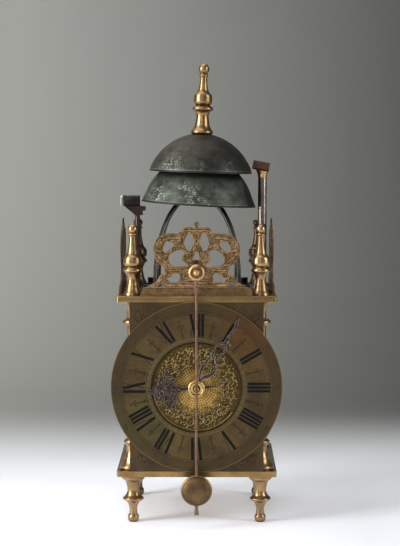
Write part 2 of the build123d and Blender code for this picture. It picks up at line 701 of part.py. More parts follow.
def strap(turn, upper_half):
    """One bell strap; the two are halved into each other where they cross, in the stem's eye."""
    half = strap_thickness / 2
    span = diagonal()
    face = arch(span + half, strap_arch_rise + half) - arch(span - half, strap_arch_rise - half)
    body = extrude(Plane.XZ * face, strap_width / 2, both=True)
    for side in (-1, 1):
        edge = side * (span + half)
        foot = block(sorted((edge - side * half, edge + side * strap_foot_length)),
                     (-strap_foot_width / 2, strap_foot_width / 2), (0, strap_thickness))
        middle = edge + side * strap_foot_length / 2
        body += foot - block_round(middle, 0, strap_thickness + 1, -1, stud_radius + stud_clearance)
    body = Pos(strap_offset, 0, 0) * Rot(0, 0, turn) * body
    crown = strap_leg_height + strap_arch_rise
    body += block_round(bell_offset, 0, crown + half, crown - half, strap_eye_radius)
    cut = (crown, crown - strap_thickness) if upper_half else (crown + strap_thickness, crown)
    body -= block_round(bell_offset, 0, *cut, strap_eye_radius + stud_clearance)
    body -= block_round(bell_offset, 0, crown + 5, crown - 5, stem_stud_radius + stem_hole_clearance)
    return Pos(0, 0, top_plate_top) * body


def leaning(piece):
    """A piece of the bell stack, built upward from z = 0, set on the strap crown and leant."""
    return Pos(bell_offset, 0, strap_crown_top + 0.25) * Rot(0, bell_lean, 0) * piece


def bell(radius, depth, dome_radius, flare, wall, crown_height, tilt=0.0):
    """A bell hanging below its crown: a round dome, then a short straight flare to the lip."""
    def half_width(dome, drop):
        return sqrt(2 * dome * drop - drop * drop)

    drop = depth - flare
    outer = half_width(dome_radius, drop)
    inner = half_width(dome_radius - wall, drop - wall)
    outer_middle = (half_width(dome_radius, drop * 0.35), -drop * 0.35)
    inner_middle = (half_width(dome_radius - wall, (drop - wall) * 0.35), -wall - (drop - wall) * 0.35)
    bore = stem_stud_radius + stud_clearance
    edges = [Line((bore, -wall), (bore, 0)), Line((bore, 0), (crown_flat_radius, 0)),
             ThreePointArc((crown_flat_radius, 0), outer_middle, (outer, -drop)),
             Line((outer, -drop), (radius, -depth)), Line((radius, -depth), (radius - wall, -depth)),
             Line((radius - wall, -depth), (inner, -drop)),
             ThreePointArc((inner, -drop), inner_middle, (crown_flat_radius, -wall)),
             Line((crown_flat_radius, -wall), (bore, -wall))]
    body = Rot(0, tilt, 0) * revolve(Plane.XZ * make_face(edges), Axis.Z)
    return leaning(Pos(0, 0, crown_height) * body)


def make_bells():
    save("bell_strap_left_front", strap(45, False))
    save("bell_strap_right_front", strap(-45, True))
    nuts = []
    for x, y in strap_nut_places():
        seat = top_plate_top + strap_thickness
        nut = Pos(x, y, seat + strap_nut_height / 2) * Rot(0, 0, 45) * Box(
            strap_nut_side, strap_nut_side, strap_nut_height)
        nuts.append(nut + block_round(x, y, seat + 1, top_plate_top - screw_depth + 0.5, stud_radius))
    lower_crown = stem_length + lower_bell_wall + bell_seat_gap
    spacer_seat = lower_crown + bell_seat_gap
    upper_seat = spacer_seat + bell_spacer_height
    upper_crown = upper_seat + upper_bell_wall
    below = strap_thickness + 0.8
    stem = rod(stem_stud_radius, (0, 0, -below - 5), (0, 0, upper_crown + stud_grip))
    stem += rod(stem_radius, (0, 0, 0), (0, 0, stem_length - 1))
    stem += rod(stem_flange_radius, (0, 0, 0), (0, 0, stem_flange_thickness))
    stem += rod(stem_flange_radius, (0, 0, stem_length - stem_flange_thickness), (0, 0, stem_length))
    save("bell_stem", leaning(stem))
    nut = Pos(0, 0, -below - strap_nut_height / 2 + 0.3) * (
        Box(strap_nut_side, strap_nut_side, strap_nut_height - 1.5)
        - Cylinder(stem_stud_radius, 2 * strap_nut_height))
    save("bell_frame_nuts", *nuts, leaning(nut))
    save("lower_bell", bell(lower_bell_radius, lower_bell_depth, lower_bell_dome_radius,
                            lower_bell_flare, lower_bell_wall, lower_crown, lower_bell_tilt))
    spacer = turned(spacer_turning, bell_spacer_height, spacer_seat)
    spacer -= rod(stem_stud_radius + stud_clearance, (0, 0, 0), (0, 0, upper_crown))
    save("bell_spacer", leaning(spacer))
    save("upper_bell", bell(upper_bell_radius, upper_bell_depth, upper_bell_dome_radius,
                            upper_bell_flare, upper_bell_wall, upper_crown))
    finial = turned(top_finial_turning, top_finial_height, upper_crown)
    finial -= rod(stem_stud_radius + stud_clearance, (0, 0, upper_crown - 1),
                  (0, 0, upper_crown + stud_grip + 1))
    save("top_finial", leaning(finial))


# ---------------------------------------------------------------- going train

def pulley(front, height, bore, side=1):
    """A rope pulley about Y with a V groove, behind (side 1) or before (-1) the given depth."""
    half = [(pulley_radius, 0.0, 0), (pulley_radius, 0.14, 0), (pulley_radius - 3.4, 0.45, 0),
            (pulley_radius - 3.4, 0.55, 0), (pulley_radius, 0.86, 0), (pulley_radius, 1.0, 0)]
    body = turned(half, pulley_width) - Cylinder(bore, 3 * pulley_width)
    return Pos(0, front, height) * Rot(-90 * side, 0, 0) * body


def going_ends():
    """A going arbor's reach: through the front bar and half way into the middle one."""
    return front_bar_place + 0.3, middle_bar_place + bar_thickness / 2 - 0.15


def striking_ends():
    """A striking arbor's reach: from half way into the middle bar through the back one."""
    return middle_bar_place + bar_thickness / 2 + 0.15, back_bar_place + bar_thickness - 0.3


def make_going_train():
    start, end = going_ends()
    great = going_great_place()
    first_pinion = great + great_wheel_thickness / 2 - pinion_length / 2
    centre = great + great_to_centre
    third = great + great_to_third
    contrate = great + great_to_contrate

    body = wheel(great_teeth, great_module, great_wheel_thickness, 90, great, great_wheel_height, 1.0)
    body += bar_y(pivot_radius, 0, great_wheel_height, start, end)
    body += bar_y(4.5, 0, great_wheel_height, great, great + great_wheel_thickness + pulley_width + 2)
    body += pulley(great + great_wheel_thickness, great_wheel_height, 4.0)
    save("going_great_wheel", body)

    arbor = bar_y(centre_arbor_radius, 0, centre_height, collet_place + 1.2, end)
    arbor += pinion(centre_pinion_leaves, great_module, first_pinion, centre_height, pinion_length)
    arbor += bar_y(3.2, 0, centre_height, centre - 3, centre)
    save("centre_arbor", arbor)
    save("centre_wheel", wheel(centre_teeth, centre_module, wheel_thickness, 90, centre,
                               centre_height, centre_arbor_radius))

    body = wheel(third_teeth, third_module, wheel_thickness, 90, third, third_height, 1.0)
    body += bar_y(pivot_radius, 0, third_height, start, end)
    body += bar_y(2.4, 0, third_height, third, third + 4)
    middle = centre + wheel_thickness / 2 - pinion_length / 2
    body += pinion(third_pinion_leaves, centre_module, middle, third_height, pinion_length)
    save("third_wheel", body)
    make_contrate_wheel(start, end, third, contrate)


def contrate_tooth_face():
    """The axial depth of the contrate teeth: how far their tips stand behind the rim."""
    return 1.9 * contrate_module


def going_great_place():
    return front_bar_place + bar_thickness + great_wheel_gap


def crown_arbor_place():
    """The crown wheel's arbor stands where its pinion meets the contrate teeth."""
    rim_back = going_great_place() + great_to_contrate + contrate_rim_depth
    pitch_plane = rim_back + contrate_tooth_face() - 0.7 * contrate_module
    return pitch_plane + crown_pinion_radius


def make_contrate_wheel(start, end, third, contrate):
    rim = contrate_rim_width
    rim_depth = contrate_rim_depth
    middle = third + wheel_thickness / 2 - pinion_length / 2
    disc = Circle(contrate_radius + rim / 2) - Circle(1.0)
    windows = Circle(contrate_radius - rim / 2 - 1.2) - Circle(4)
    for arm in range(4):
        windows -= Rot(0, 0, arm * 90 + 45) * Pos(contrate_radius / 2, 0) * Rectangle(
            contrate_radius + 6, 2.6)
    body = sheet(Pos(0, contrate_height) * (disc - windows), contrate, 1.4)
    ring = Circle(contrate_radius + rim / 2) - Circle(contrate_radius - rim / 2)
    body += sheet(Pos(0, contrate_height) * ring, contrate, rim_depth)
    pitch = pi * contrate_module
    depth = contrate_tooth_face()
    profile = make_face(Polyline((-0.3 * pitch, -0.3), (0.3 * pitch, -0.3), (0.08 * pitch, depth),
                                 (-0.08 * pitch, depth), close=True))
    tooth = extrude(Plane.XY * profile, rim / 2 - 0.05, both=True)
    tooth = Pos(0, contrate + rim_depth, contrate_height + contrate_radius) * tooth
    axis = Axis((0, 0, contrate_height), (0, 1, 0))
    body += [tooth.rotate(axis, count * 360 / contrate_teeth) for count in range(contrate_teeth)]
    body += bar_y(pivot_radius, 0, contrate_height, start, end)
    body += bar_y(2.4, 0, contrate_height, contrate - 4, contrate + 1.4)
    body += pinion(contrate_pinion_leaves, third_module, middle, contrate_height, pinion_length)
    save("contrate_wheel", body)


def crown_pinion_span():
    middle = contrate_height + contrate_radius
    return middle - crown_pinion_reach, middle + crown_pinion_reach


def make_crown_wheel():
    place = crown_arbor_place()
    low, high = crown_pinion_span()
    foot = low - crown_arbor_tail
    bottom = top_plate_top + crown_wheel_lift
    leaves = pinion_leaves(crown_pinion_leaves, contrate_module, gap_at(crown_pinion_leaves, 270))
    body = Pos(0, place, low) * extrude(leaves, high - low)
    body += rod(pivot_radius, (0, place, foot), (0, place, bottom + 1.6))
    body += rod(3.2, (0, place, bottom - 2.0), (0, place, bottom + 1.6))
    hub = Circle(crown_wheel_radius) - Circle(pivot_radius - 0.2)
    windows = Circle(crown_wheel_radius - 2.6) - Circle(3.4)
    for arm in range(3):
        windows -= Rot(0, 0, arm * 120) * Pos(crown_wheel_radius / 2, 0) * Rectangle(
            crown_wheel_radius + 4, 2.4)
    body += Pos(0, place, bottom) * extrude(hub - windows, 1.6)
    band = extrude(Circle(crown_wheel_radius) - Circle(crown_wheel_radius - 1.3), crown_wheel_height)
    gullet = 4.2
    width = 2 * pi * crown_wheel_radius / crown_teeth
    notch = make_face(Polyline((0.3 - width / 2, crown_wheel_height + 0.5),
                               (width / 2, crown_wheel_height + 0.5),
                               (width / 2, crown_wheel_height - gullet),
                               (width * 0.25, crown_wheel_height - gullet), close=True))
    cutter = Pos(0, crown_wheel_radius + 1, 0) * extrude(Plane.XZ * notch, 4)
    for tooth in range(crown_teeth):
        band -= Rot(0, 0, tooth * 360 / crown_teeth) * cutter
    body += Pos(0, place, bottom) * band
    save("crown_wheel", body)


def crown_cock():
    """The bracket on the middle bar that carries the crown wheel's lower pivot."""
    place = crown_arbor_place()
    foot = crown_pinion_span()[0] - crown_arbor_tail
    arm = block((-3.5, 3.5), (place - 3.0, middle_bar_place), (foot - 1.5, foot + 2.5))
    arm -= block_round(0, place, foot + 3, foot - 0.2, pivot_radius + running_clearance)
    arm += block((-bar_width / 2, bar_width / 2), (middle_bar_place - 1.6, middle_bar_place),
                 (foot - 1.5, foot + 12))
    return arm


# ---------------------------------------------------------------- motion work

def minute_wheel_height():
    return centre_height - motion_module * (cannon_teeth + minute_wheel_teeth) / 2


def make_motion_work():
    place = front_bar_place - 2.6
    thickness = 1.6
    cannon = sheet(Pos(0, centre_height) * wheel_teeth(cannon_teeth, motion_module, 270), place,
                   thickness)
    cannon += bar_y(cannon_pipe_radius, 0, centre_height, minute_hand_place, place + thickness)
    cannon -= bar_y(centre_arbor_radius, 0, centre_height, minute_hand_place - 1, place + 3)
    save("cannon_wheel", cannon)

    hour_module = motion_module * (cannon_teeth + minute_wheel_teeth) / (
        minute_pinion_leaves + hour_wheel_teeth)
    hour_front = place - 3.2
    height = minute_wheel_height()
    bore = pivot_radius + running_clearance
    teeth = wheel_teeth(minute_wheel_teeth, motion_module, gap_at(minute_wheel_teeth, 90))
    leaves = pinion_leaves(minute_pinion_leaves, hour_module, 90)
    body = sheet(Pos(0, height) * (teeth - Circle(bore)), place, thickness)
    body += sheet(Pos(0, height) * (leaves - Circle(bore)), hour_front, place - hour_front)
    save("minute_wheel", body)
    stud = bar_y(pivot_radius, 0, height, hour_front - 1.6, front_bar_place + 2.5)
    stud += bar_y(pivot_radius + 1.2, 0, height, hour_front - 1.6, hour_front - 0.3)
    save("minute_wheel_stud", stud)

    rim = wheel_teeth(hour_wheel_teeth, hour_module, gap_at(hour_wheel_teeth, 270))
    hour = sheet(Pos(0, centre_height) * rim, hour_front, thickness)
    hour += bar_y(hour_pipe_radius, 0, centre_height, hour_hand_place, hour_front + thickness)
    hour -= bar_y(cannon_pipe_radius + running_clearance, 0, centre_height, hour_hand_place - 1,
                  hour_front + 3)
    save("hour_wheel", hour)


# ---------------------------------------------------------------- escapement and pendulum

def make_verge():
    front = pendulum_plane + 2.0
    back = crown_arbor_place() + crown_wheel_radius + verge_tail
    verge = bar_y(verge_radius, 0, verge_height, front, back)
    ring_middle = crown_wheel_radius - 0.6
    for side in (-1, 1):
        place = crown_arbor_place() + side * ring_middle
        pallet = block((-pallet_thickness / 2, pallet_thickness / 2),
                       (place - pallet_width / 2, place + pallet_width / 2), (-pallet_reach, 0))
        verge += Pos(0, 0, verge_height) * Rot(0, side * pallet_spread / 2, 0) * pallet
    save("verge", verge)

    cocks = [crown_cock()]
    fret_back = -plate_edge + fret_inset + fret_thickness
    for start in (fret_back + fret_lug_length + 2, back - cock_thickness - 1):
        cock = block((-cock_width / 2, cock_width / 2), (start, start + cock_thickness),
                     (top_plate_top, verge_height + 4.5))
        cock += block((-cock_width / 2, cock_width / 2), (start, start + cock_thickness + 5),
                      (top_plate_top, top_plate_top + 2.2))
        cock -= bar_y(verge_radius + running_clearance, 0, verge_height, start - 1,
                      start + cock_thickness + 1)
        cocks.append(cock)
    save("escapement_cocks", *cocks)


def make_pendulum():
    boss_back = pendulum_plane + pendulum_boss_thickness / 2
    rows = [(pendulum_boss_radius - 1.6, 0.0, 0), (pendulum_boss_radius, 0.3, -0.2),
            (pendulum_boss_radius, 0.56, 0.3), (pendulum_boss_radius - 2.2, 0.8, 0.3),
            (4.2, 0.58, -0.2), (3.5, 0.6, 0), (2.9, 0.8, 0.1), (0.0, 1.25, 0)]
    boss = Pos(0, boss_back, verge_height) * Rot(90, 0, 0) * turned(rows, pendulum_boss_thickness)
    boss -= bar_y(verge_radius, 0, verge_height, pendulum_plane + 2.0, boss_back + 1)
    rod_top = verge_height - 4.0
    rod_end = bob_height - bob_radius - rating_nut_length
    boss -= rod(pendulum_rod_radius, (0, pendulum_plane, verge_height - 20), (0, pendulum_plane, rod_top))
    save("pendulum_boss", boss)

    stick = rod(pendulum_rod_radius, (0, pendulum_plane, rod_end), (0, pendulum_plane, rod_top))
    ferrule = [(pendulum_rod_radius + 0.2, 0.0, 0), (2.5, 0.85, 0), (2.1, 1.0, 0.1)]
    stick += Pos(0, pendulum_plane, verge_height - ferrule_drop - 6.5) * turned(ferrule, 6.5)
    save("pendulum_rod", stick)

    lens = [(3.0, 0, 0), (bob_radius, bob_half_thickness - 0.5, 0.9),
            (bob_radius, bob_half_thickness + 0.5, 0.2), (3.0, 2 * bob_half_thickness, 0.9)]
    profile = face_through([(0, 0, 0)] + lens + [(0, 2 * bob_half_thickness, 0)])
    bob = Rot(90, 0, 0) * revolve(Plane.XZ * profile, Axis.Z)
    bob = Pos(0, pendulum_plane + bob_half_thickness, bob_height) * bob
    bob -= rod(pendulum_rod_radius, (0, pendulum_plane, rod_end), (0, pendulum_plane, rod_top))
    save("pendulum_bob", bob)

    neck = rating_nut_radius - 0.3
    rows = [(rating_nut_radius, 0.0, 0), (rating_nut_radius, 0.42, 0), (neck, 0.5, 0), (neck, 0.96, 0)]
    nut = turned(rows, rating_nut_length) - Cylinder(pendulum_rod_radius, 3 * rating_nut_length)
    save("rating_nut", Pos(0, pendulum_plane, rod_end) * nut)


# ---------------------------------------------------------------- hammers

def hammer_arbor(side, pivot_side, shank_depth):
    """An arbor along Y with a boss at the shank and a tail towards the striking pins."""
    back = back_bar_place - 1.0
    front = shank_depth - hammer_boss_length / 2 - 2.0 - cock_thickness
    arbor = bar_y(hammer_arbor_radius, pivot_side, hammer_pivot_height, front, back)
    arbor += bar_y(hammer_boss_radius, pivot_side, hammer_pivot_height,
                   shank_depth - hammer_boss_length / 2, shank_depth + hammer_boss_length / 2)
    place = hammer_tail_place
    end = (side * hammer_tail_end[0], place, great_wheel_height + hammer_tail_end[1])
    tail = rod(1.5, (pivot_side, place, hammer_pivot_height), end)
    tail += Pos(*end) * Sphere(1.5)
    tail += bar_y(3.4, pivot_side, hammer_pivot_height, place - 2.5, place + 2.5)
    cocks = []
    for start in (front + 0.5, back - cock_thickness - 0.5):
        cock = block((pivot_side - cock_width / 2, pivot_side + cock_width / 2),
                     (start, start + cock_thickness - 0.5), (hammer_pivot_height - 4, top_plate_bottom))
        cock -= bar_y(hammer_arbor_radius + running_clearance, pivot_side, hammer_pivot_height,
                      start - 1, start + cock_thickness + 1)
        cocks.append(cock)
    return arbor + tail, cocks


def make_left_hammer():
    arbor, cocks = hammer_arbor(-1, left_hammer_side, left_hammer_depth)
    length, depth, height = left_head_size
    bottom = top_plate_top + left_head_height
    foot = bottom - 9.0
    shank = rod(left_shank_radius, (left_hammer_side, left_hammer_depth, hammer_pivot_height),
                (left_hammer_side, left_hammer_depth, foot + 1))
    shank -= bar_y(hammer_boss_radius, left_hammer_side, hammer_pivot_height, -plate_edge, plate_edge)
    right = left_hammer_side + 2.4
    left = right - length
    gusset = make_face(Polyline((left + 3.4, bottom), (left + 14.0, foot), (right + 2.6, foot),
                                (right + 2.6, foot + 4.4), (right + 5.4, foot + 4.4),
                                (right + 5.4, bottom - 0.6), (right, bottom), close=True))
    shank += sheet(gusset, left_hammer_depth - 2.6, 5.2)
    head = block((left, right), (left_hammer_depth - depth / 2, left_hammer_depth + depth / 2),
                 (bottom, bottom + height))
    head = chamfer(head.edges().filter_by(Axis.X), 1.4)
    head -= block((left + 2.4, left + 3.6), (left_hammer_depth - depth, left_hammer_depth - depth / 2 + 1),
                  (bottom - 1, bottom + height + 1))
    save("left_hammer_arbor", arbor)
    save("left_hammer_shank", shank)
    save("left_hammer_head", head)
    return cocks


def make_right_hammer():
    arbor, cocks = hammer_arbor(1, right_pivot_side, right_hammer_depth)
    length, depth, height = right_head_size
    y = right_hammer_depth
    knee = top_plate_top + right_crank_height
    middle = top_plate_top + right_head_height
    top = middle - height / 2 - 6.6
    shank = rod(right_crank_radius, (right_pivot_side, y, hammer_pivot_height),
                (right_hammer_side, y, knee))
    shank += rod(right_shank_radius, (right_hammer_side, y, knee), (right_hammer_side, y, top))
    shank += Pos(right_hammer_side, y, knee) * Sphere(right_shank_radius)
    shank -= bar_y(hammer_boss_radius, right_pivot_side, hammer_pivot_height, -plate_edge, plate_edge)
    head = Box(length, depth, height)
    head = chamfer(head.edges().filter_by(Axis.X), 1.6)
    tilt = Pos(right_hammer_side - 1.2, y, middle) * Rot(0, right_head_tilt, 0)
    collar_rows = [(4.4, 0.0, 0), (4.8, 0.4, 0), (6.2, 0.8, 0), (6.2, 1.0, 0)]
    collar = Pos(right_hammer_side, y, 0) * turned(collar_rows, 8.6, top)
    collar -= tilt * Box(2 * length, 2 * depth, height)
    save("right_hammer_arbor", arbor)
    save("right_hammer_shank", shank)
    save("right_hammer_collar", collar)
    save("right_hammer_head", tilt * head)
    return cocks


# ---------------------------------------------------------------- striking train

def make_striking_train():
    start, end = striking_ends()
    pin_wheel = back_bar_place - great_wheel_gap - great_wheel_thickness
    first_pinion = pin_wheel + great_wheel_thickness / 2 - pinion_length / 2
    hoop = pin_wheel - great_to_centre
    warning = pin_wheel - great_to_third

    body = wheel(great_teeth, great_module, great_wheel_thickness, 90, pin_wheel,
                 great_wheel_height, 1.0)
    body += bar_y(pivot_radius, 0, great_wheel_height, start, end + 6)
    body += bar_y(4.5, 0, great_wheel_height, pin_wheel - pulley_width - 8, pin_wheel + 1)
    body += pulley(pin_wheel - 6.5, great_wheel_height, 4.0, -1)
    for count in range(strike_pin_count):
        angle = 2 * pi * (count + 0.5) / strike_pin_count
        body += bar_y(0.9, strike_pin_circle * cos(angle),
                      great_wheel_height + strike_pin_circle * sin(angle), pin_wheel - 5.5,
                      pin_wheel + 0.5)
    save("strike_pin_wheel", body)

    disc = Circle(count_wheel_radius) - Circle(pivot_radius)
    steps = 0
    for blows in range(1, 13):
        steps += blows + 0.5
        angle = 360 * steps / 84
        disc -= Rot(0, 0, angle) * Pos(count_wheel_radius, 0) * Rectangle(5.0, 2.2)
    save("count_wheel", sheet(Pos(0, great_wheel_height) * disc, end + 2.5, 1.5))

    body = wheel(hoop_wheel_teeth, centre_module, wheel_thickness, 90, hoop, centre_height, 1.0)
    body += bar_y(centre_arbor_radius, 0, centre_height, start, end)
    body += pinion(centre_pinion_leaves, great_module, first_pinion, centre_height, pinion_length)
    hoop_ring = Circle(14.5) - Circle(13.0) - Pos(0, 14) * Rectangle(5, 5)
    body += sheet(Pos(0, centre_height) * hoop_ring, hoop - 3, 3.2)
    save("strike_hoop_wheel", body)

    body = wheel(warning_wheel_teeth, third_module, wheel_thickness, 90, warning, third_height, 1.0)
    body += bar_y(pivot_radius, 0, third_height, start, end)
    middle = hoop + wheel_thickness / 2 - pinion_length / 2
    body += pinion(third_pinion_leaves, centre_module, middle, third_height, pinion_length)
    body += bar_y(0.8, 12.2, third_height, warning - 3, warning + 0.5)
    save("strike_warning_wheel", body)

    middle = warning + wheel_thickness / 2 - pinion_length / 2
    body = bar_y(pivot_radius, 0, contrate_height, start, end)
    body += pinion(contrate_pinion_leaves, third_module, middle, contrate_height, pinion_length)
    vane_start = start + bar_thickness + 3
    body += block((-fly_half_width, fly_half_width), (vane_start, vane_start + fly_length),
                  (contrate_height - fly_thickness / 2, contrate_height + fly_thickness / 2))
    save("strike_fly", body)


# ---------------------------------------------------------------- doors and back

def make_doors():
    low = bottom_plate_top + door_clearance
    high = top_plate_bottom - door_clearance
    for name, side in (("left_door", -1), ("right_door", 1)):
        x = side * door_place
        door = block((x - door_thickness / 2, x + door_thickness / 2),
                     (-door_width / 2, door_width / 2), (low, high))
        door += block_round(x, hinge_place, high + hinge_pin_length, low - hinge_pin_length,
                            hinge_pin_radius)
        save(name, door)
        rows = [(1.6, 0.0, 0), (1.3, 0.35, -0.2), (knob_radius, 0.6, -0.3), (knob_radius, 0.8, 0.3),
                (0.0, 1.0, 0)]
        knob = Rot(0, side * 90, 0) * turned(rows, knob_length)
        place = Pos(x + side * door_thickness / 2, 8 - door_width / 2, centre_height)
        save(name + "_knob", place * knob)
    save("back_plate", block((-back_plate_width / 2, back_plate_width / 2),
                             (back_plate_place, back_plate_place + back_plate_thickness),
                             (bottom_plate_top, top_plate_bottom)))


def main():
    os.makedirs("parts", exist_ok=True)
    make_plates()
    make_posts()
    make_bars()
    make_dial()
    make_hands()
    make_frets()
    make_bells()
    make_going_train()
    make_crown_wheel()
    make_motion_work()
    make_verge()
    make_pendulum()
    cocks = make_left_hammer() + make_right_hammer()
    save("hammer_cocks", *cocks)
    make_striking_train()
    make_doors()


main()
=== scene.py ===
import json
import math
import random
import bpy
import bmesh
from mathutils import Matrix, Vector
from mathutils.bvhtree import BVHTree

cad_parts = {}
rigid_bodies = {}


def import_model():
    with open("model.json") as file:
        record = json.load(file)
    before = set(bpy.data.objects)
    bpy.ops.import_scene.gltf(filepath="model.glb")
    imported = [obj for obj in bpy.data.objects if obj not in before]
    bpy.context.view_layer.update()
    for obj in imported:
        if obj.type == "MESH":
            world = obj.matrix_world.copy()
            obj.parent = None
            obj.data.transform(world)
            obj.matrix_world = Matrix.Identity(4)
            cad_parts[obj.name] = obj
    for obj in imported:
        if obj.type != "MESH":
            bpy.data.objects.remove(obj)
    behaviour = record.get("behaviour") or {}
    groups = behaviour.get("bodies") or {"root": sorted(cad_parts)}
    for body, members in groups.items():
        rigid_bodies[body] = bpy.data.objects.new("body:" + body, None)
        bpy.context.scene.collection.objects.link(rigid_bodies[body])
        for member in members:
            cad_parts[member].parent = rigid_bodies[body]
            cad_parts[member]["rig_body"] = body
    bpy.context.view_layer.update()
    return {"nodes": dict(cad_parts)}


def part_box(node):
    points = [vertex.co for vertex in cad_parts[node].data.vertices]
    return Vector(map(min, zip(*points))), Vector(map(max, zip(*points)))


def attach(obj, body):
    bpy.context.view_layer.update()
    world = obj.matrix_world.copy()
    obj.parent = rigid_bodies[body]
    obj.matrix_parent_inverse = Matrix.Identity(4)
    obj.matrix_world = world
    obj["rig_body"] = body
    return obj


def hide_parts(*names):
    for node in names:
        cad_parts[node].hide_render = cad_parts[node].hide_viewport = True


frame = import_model()
nodes = frame["nodes"]
mm = 0.001
joinWithin = 2e-6  # metres: the loose corners of a CAD mesh lie closer than this
flatWithin = math.radians(0.6)  # faces that turn by less than this are one flat face
print("frame loaded:", len(nodes), "nodes")


def linear(hexColour):
    # an sRGB hex colour as the linear values that a socket takes
    channels = []
    for i in (0, 2, 4):
        c = int(hexColour[i:i + 2], 16) / 255
        channels.append(c / 12.92 if c <= 0.04045 else ((c + 0.055) / 1.055) ** 2.4)
    return (*channels, 1.0)


def addNode(material, kind, settings=None, links=None):
    # settings: sockets by name or number, or plain attributes; links: socket -> (node, output)
    tree = material.node_tree
    node = tree.nodes.new("ShaderNode" + kind)
    for key, value in (settings or {}).items():
        if isinstance(key, str) and hasattr(node, key):
            setattr(node, key, value)
        else:
            node.inputs[key].default_value = value
    for key, (source, output) in (links or {}).items():
        tree.links.new(source.outputs[output], node.inputs[key])
    return node


def newMaterial(name):
    # an empty material, and the Object coordinates that its patterns read
    material = bpy.data.materials.new(name)
    material.use_nodes = True
    material.node_tree.nodes.clear()
    return material, (addNode(material, "TexCoord"), "Object")


def newObject(name, data):
    item = bpy.data.objects.new(name, data)
    bpy.context.scene.collection.objects.link(item)
    return item


def meshOf(name, curve):
    # a curve or a text turned into a mesh
    holder = newObject(name, curve)
    bpy.context.view_layer.update()
    depsgraph = bpy.context.evaluated_depsgraph_get()
    mesh = bpy.data.meshes.new_from_object(holder.evaluated_get(depsgraph))
    bpy.data.objects.remove(holder)
    return mesh


def newPiece(name, bm, body, material, smooth=None):
    # smooth: the angle in degrees past which an edge stays sharp
    mesh = bpy.data.meshes.new(name)
    bm.normal_update()
    bm.to_mesh(mesh)
    bm.free()
    piece = newObject(name, mesh)
    mesh.materials.append(material)
    if smooth is not None:
        mesh.shade_smooth()
        mesh.set_sharp_from_angle(angle=math.radians(smooth))
    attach(piece, body)
    return piece


def dress(names, material):
    # the CAD solid stays and only takes the finish
    for name in names:
        piece = nodes[name]
        piece.data.materials.clear()
        piece.data.materials.append(material)


def softEdged(name, material, width=0.25, segments=2, angle=30):
    # a copy of a CAD solid with worn, rounded edges that catch the light
    bm = bmesh.new()
    bm.from_mesh(nodes[name].data)
    bmesh.ops.remove_doubles(bm, verts=bm.verts, dist=joinWithin)
    bmesh.ops.dissolve_limit(bm, angle_limit=flatWithin, use_dissolve_boundaries=False,
                             verts=bm.verts, edges=bm.edges, delimit=set())
    bmesh.ops.recalc_face_normals(bm, faces=bm.faces)
    piece = newPiece(name + "Worn", bm, nodes[name]["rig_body"], material, smooth=angle)
    bevel = piece.modifiers.new("wornEdges", "BEVEL")
    bevel.width = width * mm
    bevel.segments = segments
    bevel.limit_method = "ANGLE"
    bevel.angle_limit = math.radians(angle)
    bevel.use_clamp_overlap = True
    bevel.harden_normals = True
    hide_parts(name)


# the camera stands level with the frets and looks a little down
camera = {"lens": 111.2, "sensor": 36, "place": (0.01336, -1.62358, 0.36419),
          "tilt": 4.649, "turn": 0.374}
cam = newObject("camera", bpy.data.cameras.new("camera"))
cam.data.lens = camera["lens"]
cam.data.sensor_width = camera["sensor"]
cam.location = camera["place"]
cam.rotation_euler = (math.radians(90 - camera["tilt"]), 0, math.radians(camera["turn"]))
bpy.context.scene.camera = cam
bpy.context.scene.view_settings.view_transform = "Standard"
print("camera set")


def overlay(material, surface, colour, value, limits, shares=(0, 1)):
    # a colour laid over a surface, more or less of it as a value runs between two limits
    share = addNode(material, "MapRange",
                    {"From Min": limits[0], "From Max": limits[1], "To Min": shares[0],
                     "To Max": shares[1]}, {"Value": value})
    settings, links = {"data_type": "RGBA", 7: linear(colour)}, {0: (share, "Result")}
    if isinstance(surface, str):
        settings[6] = linear(surface)
    else:
        links[6] = surface
    return (addNode(material, "Mix", settings, links), 2)


def fromMiddle(material, place, middle):
    # where a point lies in X and Z from a middle in mm
    x, z = middle
    moved = addNode(material, "Mapping", {"Location": (-x * mm, 0, -z * mm), "Scale": (1, 0, 1)},
                    {"Vector": place})
    return (moved, "Vector")


def zoned(material, place, surface, zone):
    # another colour past a distance in mm: from a middle in X and Z, or along one axis
    if "middle" in zone:
        away = fromMiddle(material, place, zone["middle"])
        far = (addNode(material, "VectorMath", {"operation": "LENGTH"}, {0: away}), "Value")
    else:
        far = (addNode(material, "SeparateXYZ", {}, {0: place}), zone["axis"])
    return overlay(material, surface, zone["colour"], far, (zone["from"] * mm, zone["to"] * mm),
                   (0, zone["share"]))


def edgeTurn(material, reachMm, samples):
    # 1 on a flat face and less by an edge, where a rounded normal leaves the true one
    rounded = addNode(material, "Bevel", {"samples": samples, "Radius": reachMm * mm})
    real = addNode(material, "NewGeometry")
    turn = addNode(material, "VectorMath", {"operation": "DOT_PRODUCT"},
                   {0: (rounded, "Normal"), 1: (real, "Normal")})
    return (turn, "Value")


